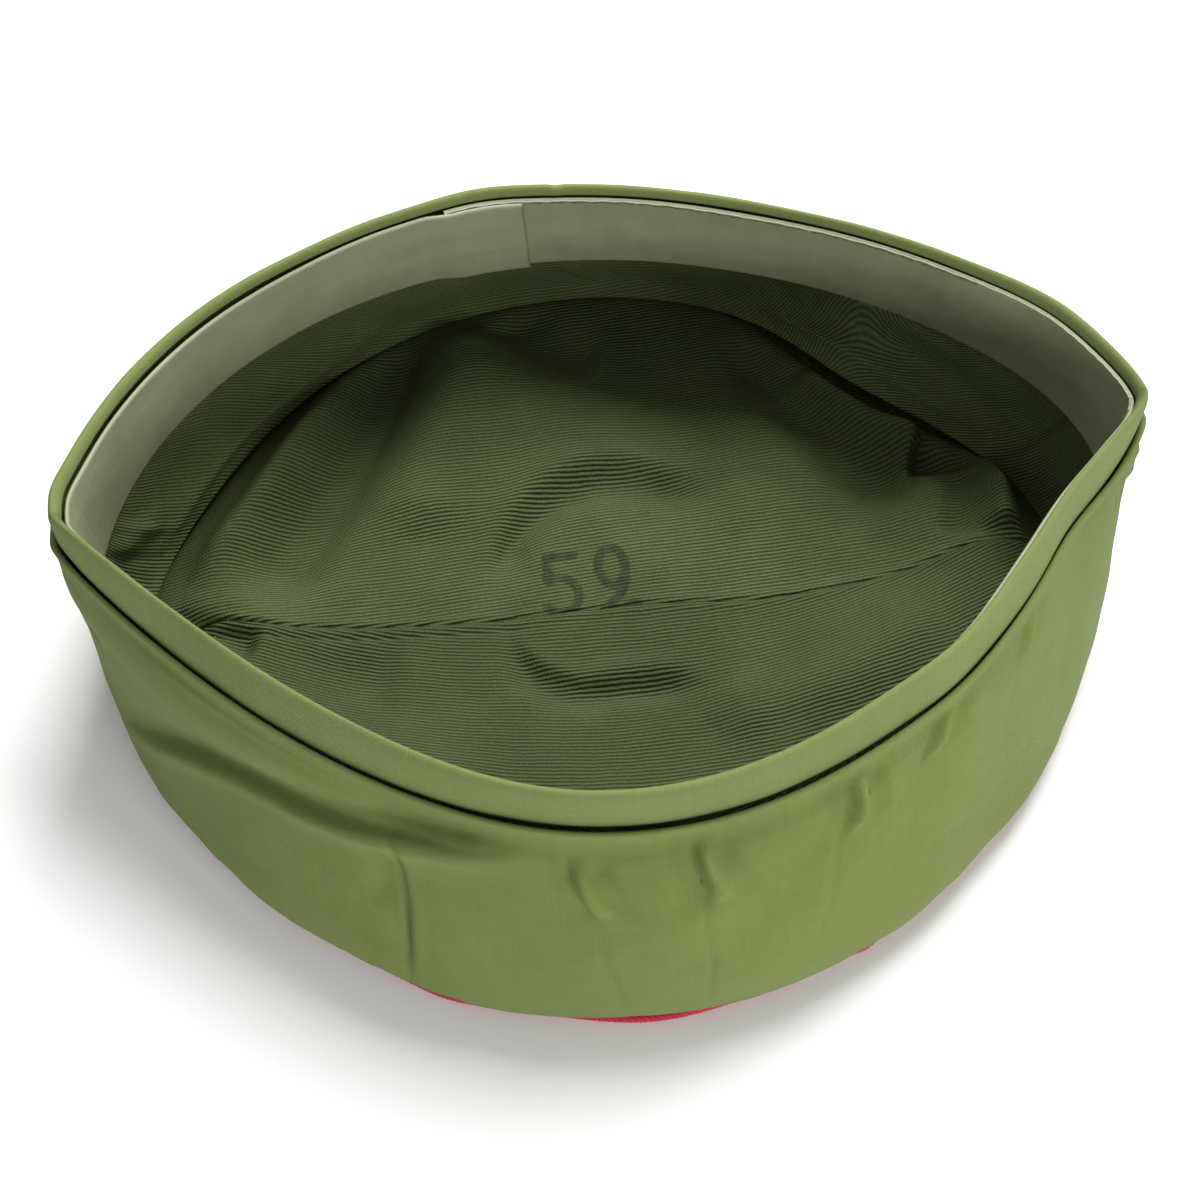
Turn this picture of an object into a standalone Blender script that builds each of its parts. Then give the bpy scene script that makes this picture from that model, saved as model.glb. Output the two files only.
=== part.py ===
"""Soft brimless uniform cap lying on its crown, head opening up. Lengths in mm, built in metres."""
import bpy
import numpy as np

# Driving sizes
HEIGHT = 68.0        # floor to the top of the rim
LENGTH = 236.0       # rim from tip to tip
DEPTH = 206.0        # crown from front to back
BAND = 10.0          # turned band, outside
SWEAT = 29.0         # width of the sweatband
SHELL_CLOTH = 1.2    # outer cloth of the side
TOP_CLOTH = 1.2      # outer cloth of the crown
BAND_CLOTH = 2.3     # folded cloth at the rim
SWEAT_CLOTH = 1.0
LINING_CLOTH = 1.0
WELT = 2.2           # red cord in the crown seam
GAP = 0.35           # left between neighbouring pieces
TIP_LIFT = 2.2       # the two ends of the rim stand higher
CROWN_LOFT = 5.0     # crown lining over the floor
PUFF = 1.0           # scales the rise of every fold

COLUMNS = 72         # round the cap
UNIT = 0.001
GIRTH = 2.9 * LENGTH     # length round the side, for the width of folds
RISE = 0.98 * HEIGHT     # length up the side, for the width of folds

# Outer face of the side: height / HEIGHT, half length / (LENGTH/2), front and back depth / (DEPTH/2),
# front and back power of the curve (1 oval, 2 pointed), share of round ends, front and back
# shift / (LENGTH/2)
SIDE = (
    (0.040, 0.955, 0.955, 0.953, 1.52, 1.35, 0.50, -0.004, 0.000),
    (0.044, 0.977, 0.978, 0.976, 1.52, 1.35, 0.50, -0.004, 0.000),
    (0.084, 0.995, 0.998, 0.996, 1.52, 1.32, 0.50, -0.004, 0.000),
    (0.150, 1.002, 1.004, 1.001, 1.60, 1.26, 0.50, -0.004, 0.000),
    (0.280, 1.007, 0.992, 0.984, 1.88, 1.19, 0.45, 0.000, -0.017),
    (0.470, 1.009, 0.957, 0.943, 2.13, 1.16, 0.35, 0.004, -0.034),
    (0.660, 1.011, 0.889, 0.882, 2.18, 1.17, 0.25, 0.000, -0.055),
    (0.800, 1.012, 0.821, 0.828, 2.19, 1.27, 0.18, -0.004, -0.076),
    (0.838, 1.008, 0.803, 0.809, 2.17, 1.34, 0.15, -0.005, -0.079),
    (0.844, 0.995, 0.788, 0.793, 2.20, 1.36, 0.15, -0.005, -0.079),
)

# Inner face of the side lining, same columns
LINING = (
    (0.086, 0.936, 0.946, 0.937, 1.52, 1.35, 0.50, -0.004, 0.000),
    (0.125, 0.952, 0.960, 0.948, 1.56, 1.32, 0.50, -0.004, 0.000),
    (0.280, 0.974, 0.944, 0.932, 1.88, 1.22, 0.45, 0.000, -0.017),
    (0.470, 0.981, 0.899, 0.890, 2.13, 1.17, 0.35, 0.004, -0.034),
    (0.660, 0.984, 0.832, 0.836, 2.18, 1.18, 0.25, 0.000, -0.055),
    (0.780, 0.984, 0.782, 0.803, 2.19, 1.25, 0.18, -0.004, -0.076),
)

# Outer face of the turned band, from its foot to the top of the rim
BAND_FACE = (
    (0.000, 1.006, 0.801, 0.806, 2.15, 1.38, 0.15, -0.005, -0.079),
    (0.500, 1.007, 0.794, 0.792, 2.30, 1.39, 0.15, -0.006, -0.081),
    (1.000, 1.008, 0.787, 0.777, 2.50, 1.40, 0.15, -0.006, -0.084),
)

# Inner face of the sweatband, from its lower edge up, heights / SWEAT
SWEAT_FACE = (
    (0.000, 0.969, 0.812, 0.813, 2.15, 1.15, 0.15, -0.004, -0.068),
    (0.500, 0.969, 0.775, 0.776, 2.30, 1.26, 0.15, -0.005, -0.076),
    (1.000, 0.974, 0.754, 0.744, 2.45, 1.40, 0.15, -0.006, -0.084),
)

# Crown seam inside, the edge shared by the side lining and the crown lining: turn, half width in
# turns, pulled in / (LENGTH/2), lifted / HEIGHT
SEAM_PULLS = (
    (0.118, 0.050, 0.150, 0.130),
    (0.400, 0.050, 0.035, 0.060),
    (0.250, 0.060, 0.020, 0.030),
)

# Bends of the rim: turn, half width in turns, and outwards / (LENGTH/2) at the top of the rim,
# at the band's foot and at the sweatband's lower edge
RIM_BENDS = (
    (0.075, 0.025, 0.014, 0.008, 0.004),
    (0.175, 0.045, -0.018, -0.012, -0.006),
    (0.262, 0.018, 0.016, 0.008, 0.004),
    (0.325, 0.030, -0.010, -0.006, 0.000),
    (0.475, 0.015, 0.007, 0.004, 0.000),
    (0.720, 0.035, 0.011, 0.004, 0.000),
    (0.842, 0.022, 0.022, 0.010, 0.004),
    (0.905, 0.024, -0.014, -0.022, -0.006),
    (0.965, 0.020, 0.008, 0.000, 0.000),
)

# Sweatband's lower edge drawn up: turn, half width in turns, lift / SWEAT
SWEAT_LIFTS = (
    (0.030, 0.050, 0.10),
)

# Folds of the outer side: three points as turn and share up the side, half width and swell in mm
SIDE_FOLDS = (
    ("upper roll", 0.520, 0.80, 0.600, 0.80, 0.680, 0.93, 9.0, 2.4),
    ("tuck under the roll", 0.560, 0.40, 0.625, 0.65, 0.684, 0.86, 4.2, -2.6),
    ("tuck end", 0.672, 0.83, 0.690, 0.87, 0.713, 0.915, 3.0, -1.3),
    ("edge below the tuck", 0.640, 0.62, 0.670, 0.73, 0.705, 0.85, 4.0, 1.5),
    ("closing seam", 0.6745, 0.75, 0.674, 0.50, 0.672, 0.22, 3.0, -0.9),
    ("left end dent", 0.505, 0.55, 0.520, 0.45, 0.540, 0.30, 6.0, -1.0),
    ("pucker one", 0.724, 0.79, 0.727, 0.74, 0.735, 0.70, 4.5, 1.1),
    ("pucker two", 0.765, 0.82, 0.768, 0.76, 0.766, 0.66, 4.5, 1.4),
    ("dent by pucker two", 0.776, 0.80, 0.785, 0.70, 0.780, 0.58, 6.5, -1.2),
    ("pucker three", 0.812, 0.86, 0.814, 0.80, 0.812, 0.72, 4.0, 1.2),
    ("dent by pucker three", 0.823, 0.80, 0.828, 0.70, 0.822, 0.56, 7.0, -1.5),
    ("pucker four", 0.842, 0.86, 0.846, 0.82, 0.848, 0.74, 4.0, 1.0),
    ("right end swell", 0.900, 0.55, 0.930, 0.50, 0.960, 0.45, 12.0, 1.0),
    ("back sag one", 0.150, 0.75, 0.190, 0.62, 0.240, 0.72, 9.0, -1.4),
    ("back swell one", 0.120, 0.45, 0.190, 0.38, 0.260, 0.46, 10.0, 1.3),
    ("back sag two", 0.300, 0.74, 0.345, 0.60, 0.390, 0.70, 8.0, -1.4),
    ("back swell two", 0.330, 0.42, 0.390, 0.34, 0.450, 0.46, 10.0, 1.2),
    ("right end roll", 0.020, 0.78, 0.060, 0.70, 0.100, 0.74, 7.0, 1.2),
)

# Folds of the side lining, same columns
LINING_FOLDS = (
    ("left pocket", 0.425, 0.20, 0.445, 0.28, 0.462, 0.42, 5.0, 2.0),
    ("left end swell", 0.455, 0.25, 0.462, 0.40, 0.466, 0.55, 5.0, 0.8),
    ("right sag", 0.060, 0.30, 0.095, 0.45, 0.150, 0.50, 9.0, 2.5),
    ("back drop one", 0.205, 0.20, 0.200, 0.40, 0.190, 0.60, 7.0, 1.6),
    ("back drop two", 0.300, 0.15, 0.310, 0.35, 0.330, 0.55, 8.0, 1.6),
    ("front drop one", 0.700, 0.20, 0.705, 0.40, 0.700, 0.60, 9.0, 1.4),
    ("front drop two", 0.840, 0.20, 0.835, 0.40, 0.840, 0.60, 9.0, 1.4),
)

# Folds of the crown lining: three points as shares of LENGTH/2 and DEPTH/2, half width and rise in mm
CROWN_FOLDS = (
    ("dome under the number", -0.02, 0.01, 0.02, 0.02, 0.06, 0.02, 15.0, 4.2),
    ("hollow behind the dome", -0.21, 0.09, -0.05, 0.29, 0.23, 0.25, 5.5, -1.5),
    ("hollow before the dome", -0.21, -0.06, -0.07, -0.24, 0.17, -0.24, 5.5, -1.3),
    ("left ridge", -0.40, 0.85, -0.53, 0.58, -0.66, 0.32, 7.5, 4.2),
    ("valley by the left ridge", -0.34, 0.86, -0.42, 0.56, -0.60, 0.26, 7.5, -1.7),
    ("back swell", -0.25, 0.80, -0.20, 0.70, -0.16, 0.62, 8.0, 2.0),
    ("back valley", 0.04, 0.86, 0.17, 0.64, 0.34, 0.38, 14.0, -1.6),
    ("right ridge", 0.36, 0.62, 0.46, 0.42, 0.60, 0.18, 9.0, 2.6),
    ("right valley", 0.46, 0.40, 0.60, 0.22, 0.74, 0.28, 7.0, -1.8),
    ("right end ridge", 0.76, 0.30, 0.84, 0.20, 0.84, 0.08, 4.5, 2.4),
    ("left end valley", -0.80, 0.30, -0.85, 0.20, -0.87, 0.08, 5.0, -1.6),
    ("front swell", -0.40, -0.50, 0.00, -0.62, 0.40, -0.50, 16.0, 1.6),
)

# Places where the red cord looks out: turn, half width in turns, outwards in mm
CORD_PEEKS = (
    (0.683, 0.014, 1.3),
    (0.745, 0.022, 1.5),
    (0.813, 0.006, 1.2),
)

HALF_LENGTH = LENGTH / 2
HALF_DEPTH = DEPTH / 2


def glide(marks, rows, at):
    """Smooth values of the table rows at the given marks."""
    rows, marks, at = np.array(rows, float), np.array(marks, float), np.asarray(at, float)
    step = np.diff(marks)
    slope = np.diff(rows, axis=0) / step[:, None]
    mid = (slope[:-1] * step[1:, None] + slope[1:] * step[:-1, None]) / (step[1:] + step[:-1])[:, None]
    slope = np.vstack([slope[:1], mid, slope[-1:]])
    i = np.clip(np.searchsorted(marks, at, side="right") - 1, 0, len(marks) - 2)
    h = step[i]
    t = (at - marks[i]) / h
    basis = (2 * t**3 - 3 * t**2 + 1, (t**3 - 2 * t**2 + t) * h, 3 * t**2 - 2 * t**3, (t**3 - t**2) * h)
    return [basis[0] * rows[i, k] + basis[1] * slope[i, k] + basis[2] * rows[i + 1, k]
            + basis[3] * slope[i + 1, k] for k in range(rows.shape[1])]


def profile_marks(rows):
    """Share of the way up each row of a side table stands."""
    table = np.array(rows, float)
    step = np.hypot(np.diff(table[:, 2] * HALF_DEPTH), np.diff(table[:, 0] * HEIGHT))
    marks = np.concatenate([[0.0], np.cumsum(step)])
    return marks / marks[-1]


def bumps(turn, rows, column):
    """Sum of soft bumps round the cap from a table of turn, half width and amounts."""
    total = 0.0 * turn
    for row in rows:
        away = (turn - row[0] + 0.5) % 1.0 - 0.5
        total = total + row[column] * np.exp(-(away / row[1]) ** 2)
    return total


def rim_reach(turn, up, marks, columns):
    """Growth of a ring by the rim's bends; the marks are heights that take the listed columns."""
    total = 1.0 + 0.0 * turn
    for k, column in enumerate(columns):
        share = np.interp(up, marks, np.eye(len(marks))[k])
        if column:
            total = total + share * bumps(turn, RIM_BENDS, column)
    return total


def oval(turn, values, inset=0.0, reach=1.0):
    """Points of a lens-shaped ring; values are the columns of a side table after the height."""
    length, front, back, front_power, back_power, blunt, front_shift, back_shift = values
    angle = 2 * np.pi * turn
    c, s = np.cos(angle), np.sin(angle)
    size = np.abs(s)
    at_back = s >= -1e-12
    power = np.where(at_back, back_power, front_power)
    depth = np.where(at_back, back, -front) * HALF_DEPTH
    depth = depth - np.sign(depth) * inset
    curve = (1 - blunt) * size ** power + blunt * size
    x = (length * HALF_LENGTH - inset) * c * reach
    x = x + np.where(at_back, back_shift, front_shift) * HALF_LENGTH * s * s
    return x, depth * curve * reach


def lift(turn, z):
    """Height with the raised ends of the rim."""
    return z + TIP_LIFT * np.clip(z / HEIGHT, 0, 2) ** 2 * np.abs(np.cos(2 * np.pi * turn)) ** 4


def crease(p, q, points, width):
    """Strength, 0 to 1, of a fold along a curve through three points, on a flat map in mm."""
    (a, b), (c, d), (e, f) = points
    t = np.linspace(0, 1, 13)
    w = ((1 - t) * (1 - 2 * t), 4 * t * (1 - t), t * (2 * t - 1))
    u, v = w[0] * a + w[1] * c + w[2] * e, w[0] * b + w[1] * d + w[2] * f
    best = np.full(np.shape(p), 1e9)
    along = np.zeros(np.shape(p))
    for k in range(12):
        du, dv = u[k + 1] - u[k], v[k + 1] - v[k]
        share = np.clip(((p - u[k]) * du + (q - v[k]) * dv) / (du * du + dv * dv + 1e-12), 0, 1)
        gap = (p - u[k] - share * du) ** 2 + (q - v[k] - share * dv) ** 2
        along = np.where(gap < best, (k + share) / 12, along)
        best = np.minimum(best, gap)
    return np.exp(-best / width**2) * (0.4 + 0.6 * np.sin(np.pi * along))


def side_swell(turn, up, folds):
    """Outward swell in mm of the listed folds."""
    total = 0.0 * turn
    for _, t0, u0, t1, u1, t2, u2, width, swell in folds:
        near = (turn - t1 + 0.5) % 1.0 - 0.5 + t1
        points = ((t0 * GIRTH, u0 * RISE), (t1 * GIRTH, u1 * RISE), (t2 * GIRTH, u2 * RISE))
        total = total + swell * PUFF * crease(near * GIRTH, up * RISE, points, width)
    return total


def outward(x, y, z):
    """Unit normals of a closed ring grid, pointing out."""
    p = np.stack([x, y, z], axis=-1)
    around = np.roll(p, -1, axis=1) - np.roll(p, 1, axis=1)
    rise = np.gradient(p, axis=0)
    n = np.cross(around, rise)
    return n / np.linalg.norm(n, axis=-1, keepdims=True)


def side_points(turns, ups):
    turn, up = np.meshgrid(turns, ups)
    values = glide(profile_marks(SIDE), SIDE, up)
    z = lift(turn, values[0] * HEIGHT)
    x, y = oval(turn, values[1:], 0.0, rim_reach(turn, up, (0.5, 0.95), (0, 3)))
    p = np.stack([x, y, z], axis=-1)
    edge = np.clip(up / 0.15, 0, 1) * np.clip((0.99 - up) / 0.08, 0, 1)
    return p + outward(x, y, z) * (side_swell(turn, up, SIDE_FOLDS) * edge)[..., None]


def seam_line(turn, inset=0.0):
    """The crown seam inside."""
    x, y = oval(turn, LINING[0][1:], inset)
    shrink = 1.0 - bumps(turn, SEAM_PULLS, 2)
    z = LINING[0][0] * HEIGHT + HEIGHT * bumps(turn, SEAM_PULLS, 3)
    return x * shrink, y * shrink, z


def lining_points(turns, ups):
    turn, up = np.meshgrid(turns, ups)
    values = glide(profile_marks(LINING), LINING, up)
    z = lift(turn, values[0] * HEIGHT)
    x, y = oval(turn, values[1:], 0.0, rim_reach(turn, up, (0.5, 1.0), (0, 3)))
    seam = seam_line(turn)
    plain = oval(turn, LINING[0][1:])
    keep = np.clip(1 - up, 0, 1) ** 2.2
    x = x + keep * (seam[0] - plain[0])
    y = y + keep * (seam[1] - plain[1])
    z = z + keep * (seam[2] - LINING[0][0] * HEIGHT)
    p = np.stack([x, y, z], axis=-1)
    edge = np.clip(up / 0.12, 0, 1) * np.clip((0.95 - up) / 0.25, 0, 1)
    swell = side_swell(turn, up, LINING_FOLDS) * edge
    beside = np.interp(values[0], [r[0] for r in SIDE], profile_marks(SIDE))
    swell = swell - 1.1 * np.minimum(side_swell(turn, beside, SIDE_FOLDS), 0.0)
    return p - outward(x, y, z) * swell[..., None]


def disc_map(across, along):
    """Square coordinates to turn and share of the way out."""
    reach = np.maximum(np.abs(across), np.abs(along))
    safe = np.where(reach > 0, reach, 1.0)
    a, b = across / safe, along / safe
    side = np.where(np.abs(a) >= np.abs(b) - 1e-12, np.where(a > 0, b, 4 - b), np.where(b > 0, 2 - a, 6 + a))
    return (side / 8.0) % 1.0, reach


def crown_points(across, along):
    """Crown lining over the whole square; along 0 is the middle seam."""
    turn, reach = disc_map(across, along)
    x0, y0, z0 = seam_line(turn, GAP)
    plain_x, plain_y = oval(turn, LINING[0][1:], GAP)
    x = plain_x * reach + (x0 - plain_x) * reach**3
    y = plain_y * reach + (y0 - plain_y) * reach**3
    z = CROWN_LOFT + (z0 - CROWN_LOFT) * reach**6
    for _, a0, b0, a1, b1, a2, b2, width, rise in CROWN_FOLDS:
        points = tuple((a * HALF_LENGTH, b * HALF_DEPTH) for a, b in ((a0, b0), (a1, b1), (a2, b2)))
        z = z + rise * PUFF * crease(x, y, points, width) * np.clip((1 - reach) / 0.12, 0, 1)
    return x, y, z


def add_mesh(name, points, faces, colour, roughness, thickness=0.0):
    mesh = bpy.data.meshes.new(name)
    mesh.from_pydata([tuple(float(c) * UNIT for c in p) for p in points], [], faces)
    mesh.validate()
    part = bpy.data.objects.new(name, mesh)
    collection.objects.link(part)
    finish = bpy.data.materials.new(name)
    finish.use_nodes = True
    shader = finish.node_tree.nodes["Principled BSDF"]
    shader.inputs["Base Color"].default_value = (*colour, 1.0)
    shader.inputs["Roughness"].default_value = roughness
    mesh.materials.append(finish)
    if thickness:
        solid = part.modifiers.new("cloth", "SOLIDIFY")
        solid.thickness = thickness * UNIT
        solid.offset = -1.0
    return part


def ring_faces(rows, columns, closed_rows=False):
    """Quads of a closed ring grid, facing out when rows climb and columns turn left."""
    faces = []
    for r in range(rows if closed_rows else rows - 1):
        for c in range(columns):
            a, b = r * columns + c, r * columns + (c + 1) % columns
            up = ((r + 1) % rows) * columns
            faces.append((a, b, up + (c + 1) % columns, up + c))
    return faces


def build_side_wall():
    turns = np.arange(COLUMNS) / COLUMNS
    ups = np.array([0.0, 0.045, 0.10, 0.17, 0.29, 0.42, 0.55, 0.66, 0.76, 0.86, 0.955, 1.0])
    p = side_points(turns, ups)
    return add_mesh("side_wall", p.reshape(-1, 3), ring_faces(len(ups), COLUMNS),
                    (0.215, 0.262, 0.092), 0.85, SHELL_CLOTH)


def build_side_lining():
    turns = np.arange(COLUMNS) / COLUMNS
    ups = np.array([0.0, 0.10, 0.24, 0.39, 0.54, 0.69, 0.84, 1.0])
    p = lining_points(turns, ups)
    faces = [tuple(reversed(f)) for f in ring_faces(len(ups), COLUMNS)]
    return add_mesh("side_lining", p.reshape(-1, 3), faces, (0.055, 0.080, 0.030), 0.8, LINING_CLOTH)


def build_top_panel():
    n = COLUMNS // 4
    grid = np.linspace(-1, 1, n + 1)
    across, along = np.meshgrid(grid, grid)
    turn, reach = disc_map(across, along)
    x, y = oval(turn, SIDE[0][1:], GAP)
    x, y = x * reach, y * reach
    points = np.stack([x, y, np.full_like(x, TOP_CLOTH)], axis=-1).reshape(-1, 3)
    w = n + 1
    faces = [(r * w + c, r * w + c + 1, (r + 1) * w + c + 1, (r + 1) * w + c)
             for r in range(n) for c in range(n)]
    return add_mesh("top_panel", points, faces, (0.215, 0.262, 0.092), 0.85, TOP_CLOTH)


def build_crown_half(name, back):
    n = COLUMNS // 4
    m = n // 2
    seam = 2 * (GAP / 2) / DEPTH
    across, along = np.meshgrid(np.linspace(-1, 1, n + 1), np.linspace(0, 1, m + 1))
    x, y, z = crown_points(across, along if back else -along)
    y = y + (1 if back else -1) * seam * HALF_DEPTH * (along < 1e-9)
    points = np.stack([x, y, z], axis=-1).reshape(-1, 3)
    w = n + 1
    faces = [(r * w + c, r * w + c + 1, (r + 1) * w + c + 1, (r + 1) * w + c)
             for r in range(m) for c in range(n)]
    if not back:
        faces = [tuple(reversed(f)) for f in faces]
    return add_mesh(name, points, faces, (0.055, 0.080, 0.030), 0.8, LINING_CLOTH)


def build_band():
    """Folded strip: outer face, rounded top, thinner behind the sweatband."""
    turns = np.arange(COLUMNS) / COLUMNS
    foot = HEIGHT - BAND
    section = ((0.0, 0.0), (0.0, 0.50), (0.12, 0.91), (0.50, 1.0), (0.88, 0.91), (1.0, 0.66),
               (0.60, 0.50), (0.60, 0.0))
    rows = []
    for inset, up in section:
        values = glide([r[0] for r in BAND_FACE], BAND_FACE, np.full(COLUMNS, up))
        x, y = oval(turns, values[1:], inset * BAND_CLOTH, rim_reach(turns, up, (0.0, 1.0), (3, 2)))
        rows.append(np.stack([x, y, lift(turns, foot + up * BAND)], axis=-1))
    return add_mesh("band", np.concatenate(rows), ring_faces(len(section), COLUMNS, True),
                    (0.235, 0.285, 0.105), 0.85)


def build_sweatband():
    """Open strip whose lapped end lies on the inside, a little lower."""
    start, lap = 0.2645, 0.013
    turns = np.concatenate([[0.0, 0.006, 0.013, 0.020, 0.030], np.arange(3, COLUMNS) / COLUMNS,
                            [1.0 - 0.004, 1.0 + 0.004, 1.0 + lap]]) + start
    lead = np.clip((0.034 - (turns - start)) / 0.018, 0, 1)
    lead = lead * lead * (3 - 2 * lead)
    top = HEIGHT - 0.33 * BAND
    section = ((0.0, 0.0), (0.0, 0.5), (0.0, 1.0), (1.0, 1.0), (1.0, 0.5), (1.0, 0.0))
    n = len(turns)
    points = []
    for out, up in section:
        values = glide([r[0] for r in SWEAT_FACE], SWEAT_FACE, np.full(n, up))
        inset = lead * (SWEAT_CLOTH + GAP) - out * SWEAT_CLOTH
        x, y = oval(turns % 1.0, values[1:], inset, rim_reach(turns, up, (0.0, 0.77, 1.0), (4, 3, 2)))
        z = lift(turns, top - SWEAT + up * SWEAT) - 1.0 * lead
        z = z + SWEAT * (1 - up) ** 2 * bumps(turns, SWEAT_LIFTS, 2)
        points.append(np.stack([x, y, z], axis=-1))
    faces = []
    k = len(section)
    for r in range(k):
        s = (r + 1) % k
        for c in range(n - 1):
            faces.append((r * n + c, s * n + c, s * n + c + 1, r * n + c + 1))
    faces.append((0, 5 * n, 4 * n, n))
    faces.append((n, 4 * n, 3 * n, 2 * n))
    e = n - 1
    faces.append((e, n + e, 4 * n + e, 5 * n + e))
    faces.append((n + e, 2 * n + e, 3 * n + e, 4 * n + e))
    return add_mesh("sweatband", np.concatenate(points), faces, (0.215, 0.230, 0.140), 0.55)


def build_piping():
    turns = np.arange(COLUMNS) / COLUMNS
    radius = WELT / 2
    rows = []
    for k in range(6):
        angle = np.pi / 3 * k + np.pi / 6
        out = bumps(turns, CORD_PEEKS, 2) + radius + GAP + radius * np.cos(angle)
        x, y = oval(turns, SIDE[0][1:], -out)
        rows.append(np.stack([x, y, 0 * turns + radius + 0.1 + radius * np.sin(angle)], axis=-1))
    return add_mesh("piping", np.concatenate(rows), ring_faces(6, COLUMNS, True), (0.50, 0.02, 0.05), 0.6)


for old in list(bpy.data.objects):
    bpy.data.objects.remove(old, do_unlink=True)
collection = bpy.data.collections.new("mao_cap")
bpy.context.scene.collection.children.link(collection)

build_top_panel()
build_piping()
build_side_wall()
build_band()
build_sweatband()
build_side_lining()
build_crown_half("crown_lining_back", True)
build_crown_half("crown_lining_front", False)
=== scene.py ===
"""Looks of a soft brimless uniform cap lying on its crown. Lengths in mm unless said otherwise."""
import bpy
import numpy as np
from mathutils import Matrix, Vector


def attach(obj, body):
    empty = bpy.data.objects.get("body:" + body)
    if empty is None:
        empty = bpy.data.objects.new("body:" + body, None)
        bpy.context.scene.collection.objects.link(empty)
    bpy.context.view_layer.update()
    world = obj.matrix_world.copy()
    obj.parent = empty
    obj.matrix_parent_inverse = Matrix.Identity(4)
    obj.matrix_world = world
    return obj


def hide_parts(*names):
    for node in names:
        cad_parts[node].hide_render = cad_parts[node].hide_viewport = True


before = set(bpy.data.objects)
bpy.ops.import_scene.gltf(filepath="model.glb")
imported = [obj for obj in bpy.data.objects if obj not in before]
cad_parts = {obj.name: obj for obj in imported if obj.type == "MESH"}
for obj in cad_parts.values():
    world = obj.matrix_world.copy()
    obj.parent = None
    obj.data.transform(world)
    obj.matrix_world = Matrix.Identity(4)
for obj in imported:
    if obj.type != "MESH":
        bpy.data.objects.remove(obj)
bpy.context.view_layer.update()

# Sizes shared with the solids
HEIGHT = 68.0
LENGTH = 236.0
DEPTH = 206.0
BAND = 10.0
SWEAT = 29.0
SHELL_CLOTH = 1.2
TOP_CLOTH = 1.2
BAND_CLOTH = 2.3
SWEAT_CLOTH = 1.0
LINING_CLOTH = 1.0
WELT = 2.2
GAP = 0.35
TIP_LIFT = 2.2
HALF_LENGTH = LENGTH / 2
HALF_DEPTH = DEPTH / 2
# Length round and up the side in the flat map that places its folds
GIRTH = 2.9 * LENGTH
RISE = 0.98 * HEIGHT
# Length round the outer side, the band and the sweatband in their cloth maps
SIDE_ROUND = 692.0
BAND_ROUND = 610.0
SWEAT_ROUND = 600.0
# Share of the flat map that goes to a strip's visible face
FINE_SHARE = 0.86
# Distance past which the ink of the size number isn't measured
INK_REACH = 9.0

# Height, half length, front and back depth, front and back power, share of round ends, front and back shift
SIDE = (
    (0.040, 0.955, 0.955, 0.953, 1.52, 1.35, 0.50, -0.004, 0.000),
    (0.044, 0.977, 0.978, 0.976, 1.52, 1.35, 0.50, -0.004, 0.000),
    (0.084, 0.995, 0.998, 0.996, 1.52, 1.32, 0.50, -0.004, 0.000),
    (0.150, 1.002, 1.004, 1.001, 1.60, 1.26, 0.50, -0.004, 0.000),
    (0.280, 1.007, 0.992, 0.984, 1.88, 1.19, 0.45, 0.000, -0.017),
    (0.470, 1.009, 0.957, 0.943, 2.13, 1.16, 0.35, 0.004, -0.034),
    (0.660, 1.011, 0.889, 0.882, 2.18, 1.17, 0.25, 0.000, -0.055),
    (0.800, 1.012, 0.821, 0.828, 2.19, 1.27, 0.18, -0.004, -0.076),
    (0.838, 1.008, 0.803, 0.809, 2.17, 1.34, 0.15, -0.005, -0.079),
    (0.844, 0.995, 0.788, 0.793, 2.20, 1.36, 0.15, -0.005, -0.079),
)
LINING = (
    (0.086, 0.936, 0.946, 0.937, 1.52, 1.35, 0.50, -0.004, 0.000),
    (0.125, 0.952, 0.960, 0.948, 1.56, 1.32, 0.50, -0.004, 0.000),
    (0.280, 0.974, 0.944, 0.932, 1.88, 1.22, 0.45, 0.000, -0.017),
    (0.470, 0.981, 0.899, 0.890, 2.13, 1.17, 0.35, 0.004, -0.034),
    (0.660, 0.984, 0.832, 0.836, 2.18, 1.18, 0.25, 0.000, -0.055),
    (0.780, 0.984, 0.782, 0.803, 2.19, 1.25, 0.18, -0.004, -0.076),
)
# Band and sweatband: share of their own height, then the same columns
BAND_FACE = (
    (0.000, 1.006, 0.801, 0.806, 2.15, 1.38, 0.15, -0.005, -0.079),
    (0.500, 1.007, 0.794, 0.792, 2.30, 1.39, 0.15, -0.006, -0.081),
    (1.000, 1.008, 0.787, 0.777, 2.50, 1.40, 0.15, -0.006, -0.084),
)
SWEAT_FACE = (
    (0.000, 0.969, 0.812, 0.813, 2.15, 1.15, 0.15, -0.004, -0.068),
    (0.500, 0.969, 0.775, 0.776, 2.30, 1.26, 0.15, -0.005, -0.076),
    (1.000, 0.974, 0.754, 0.744, 2.45, 1.40, 0.15, -0.006, -0.084),
)
# Pulls of the inner crown seam: turn, half width, shrink and rise
SEAM_PULLS = (
    (0.118, 0.050, 0.150, 0.130),
    (0.400, 0.050, 0.035, 0.060),
    (0.250, 0.060, 0.020, 0.030),
)
# Bends of the rim: turn, half width, growth at the band's top, the band's foot and the sweatband's foot
RIM_BENDS = (
    (0.075, 0.025, 0.014, 0.008, 0.004),
    (0.175, 0.045, -0.018, -0.012, -0.006),
    (0.262, 0.018, 0.016, 0.008, 0.004),
    (0.325, 0.030, -0.010, -0.006, 0.000),
    (0.475, 0.015, 0.007, 0.004, 0.000),
    (0.720, 0.035, 0.011, 0.004, 0.000),
    (0.842, 0.022, 0.022, 0.010, 0.004),
    (0.905, 0.024, -0.014, -0.022, -0.006),
    (0.965, 0.020, 0.008, 0.000, 0.000),
)
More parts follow.
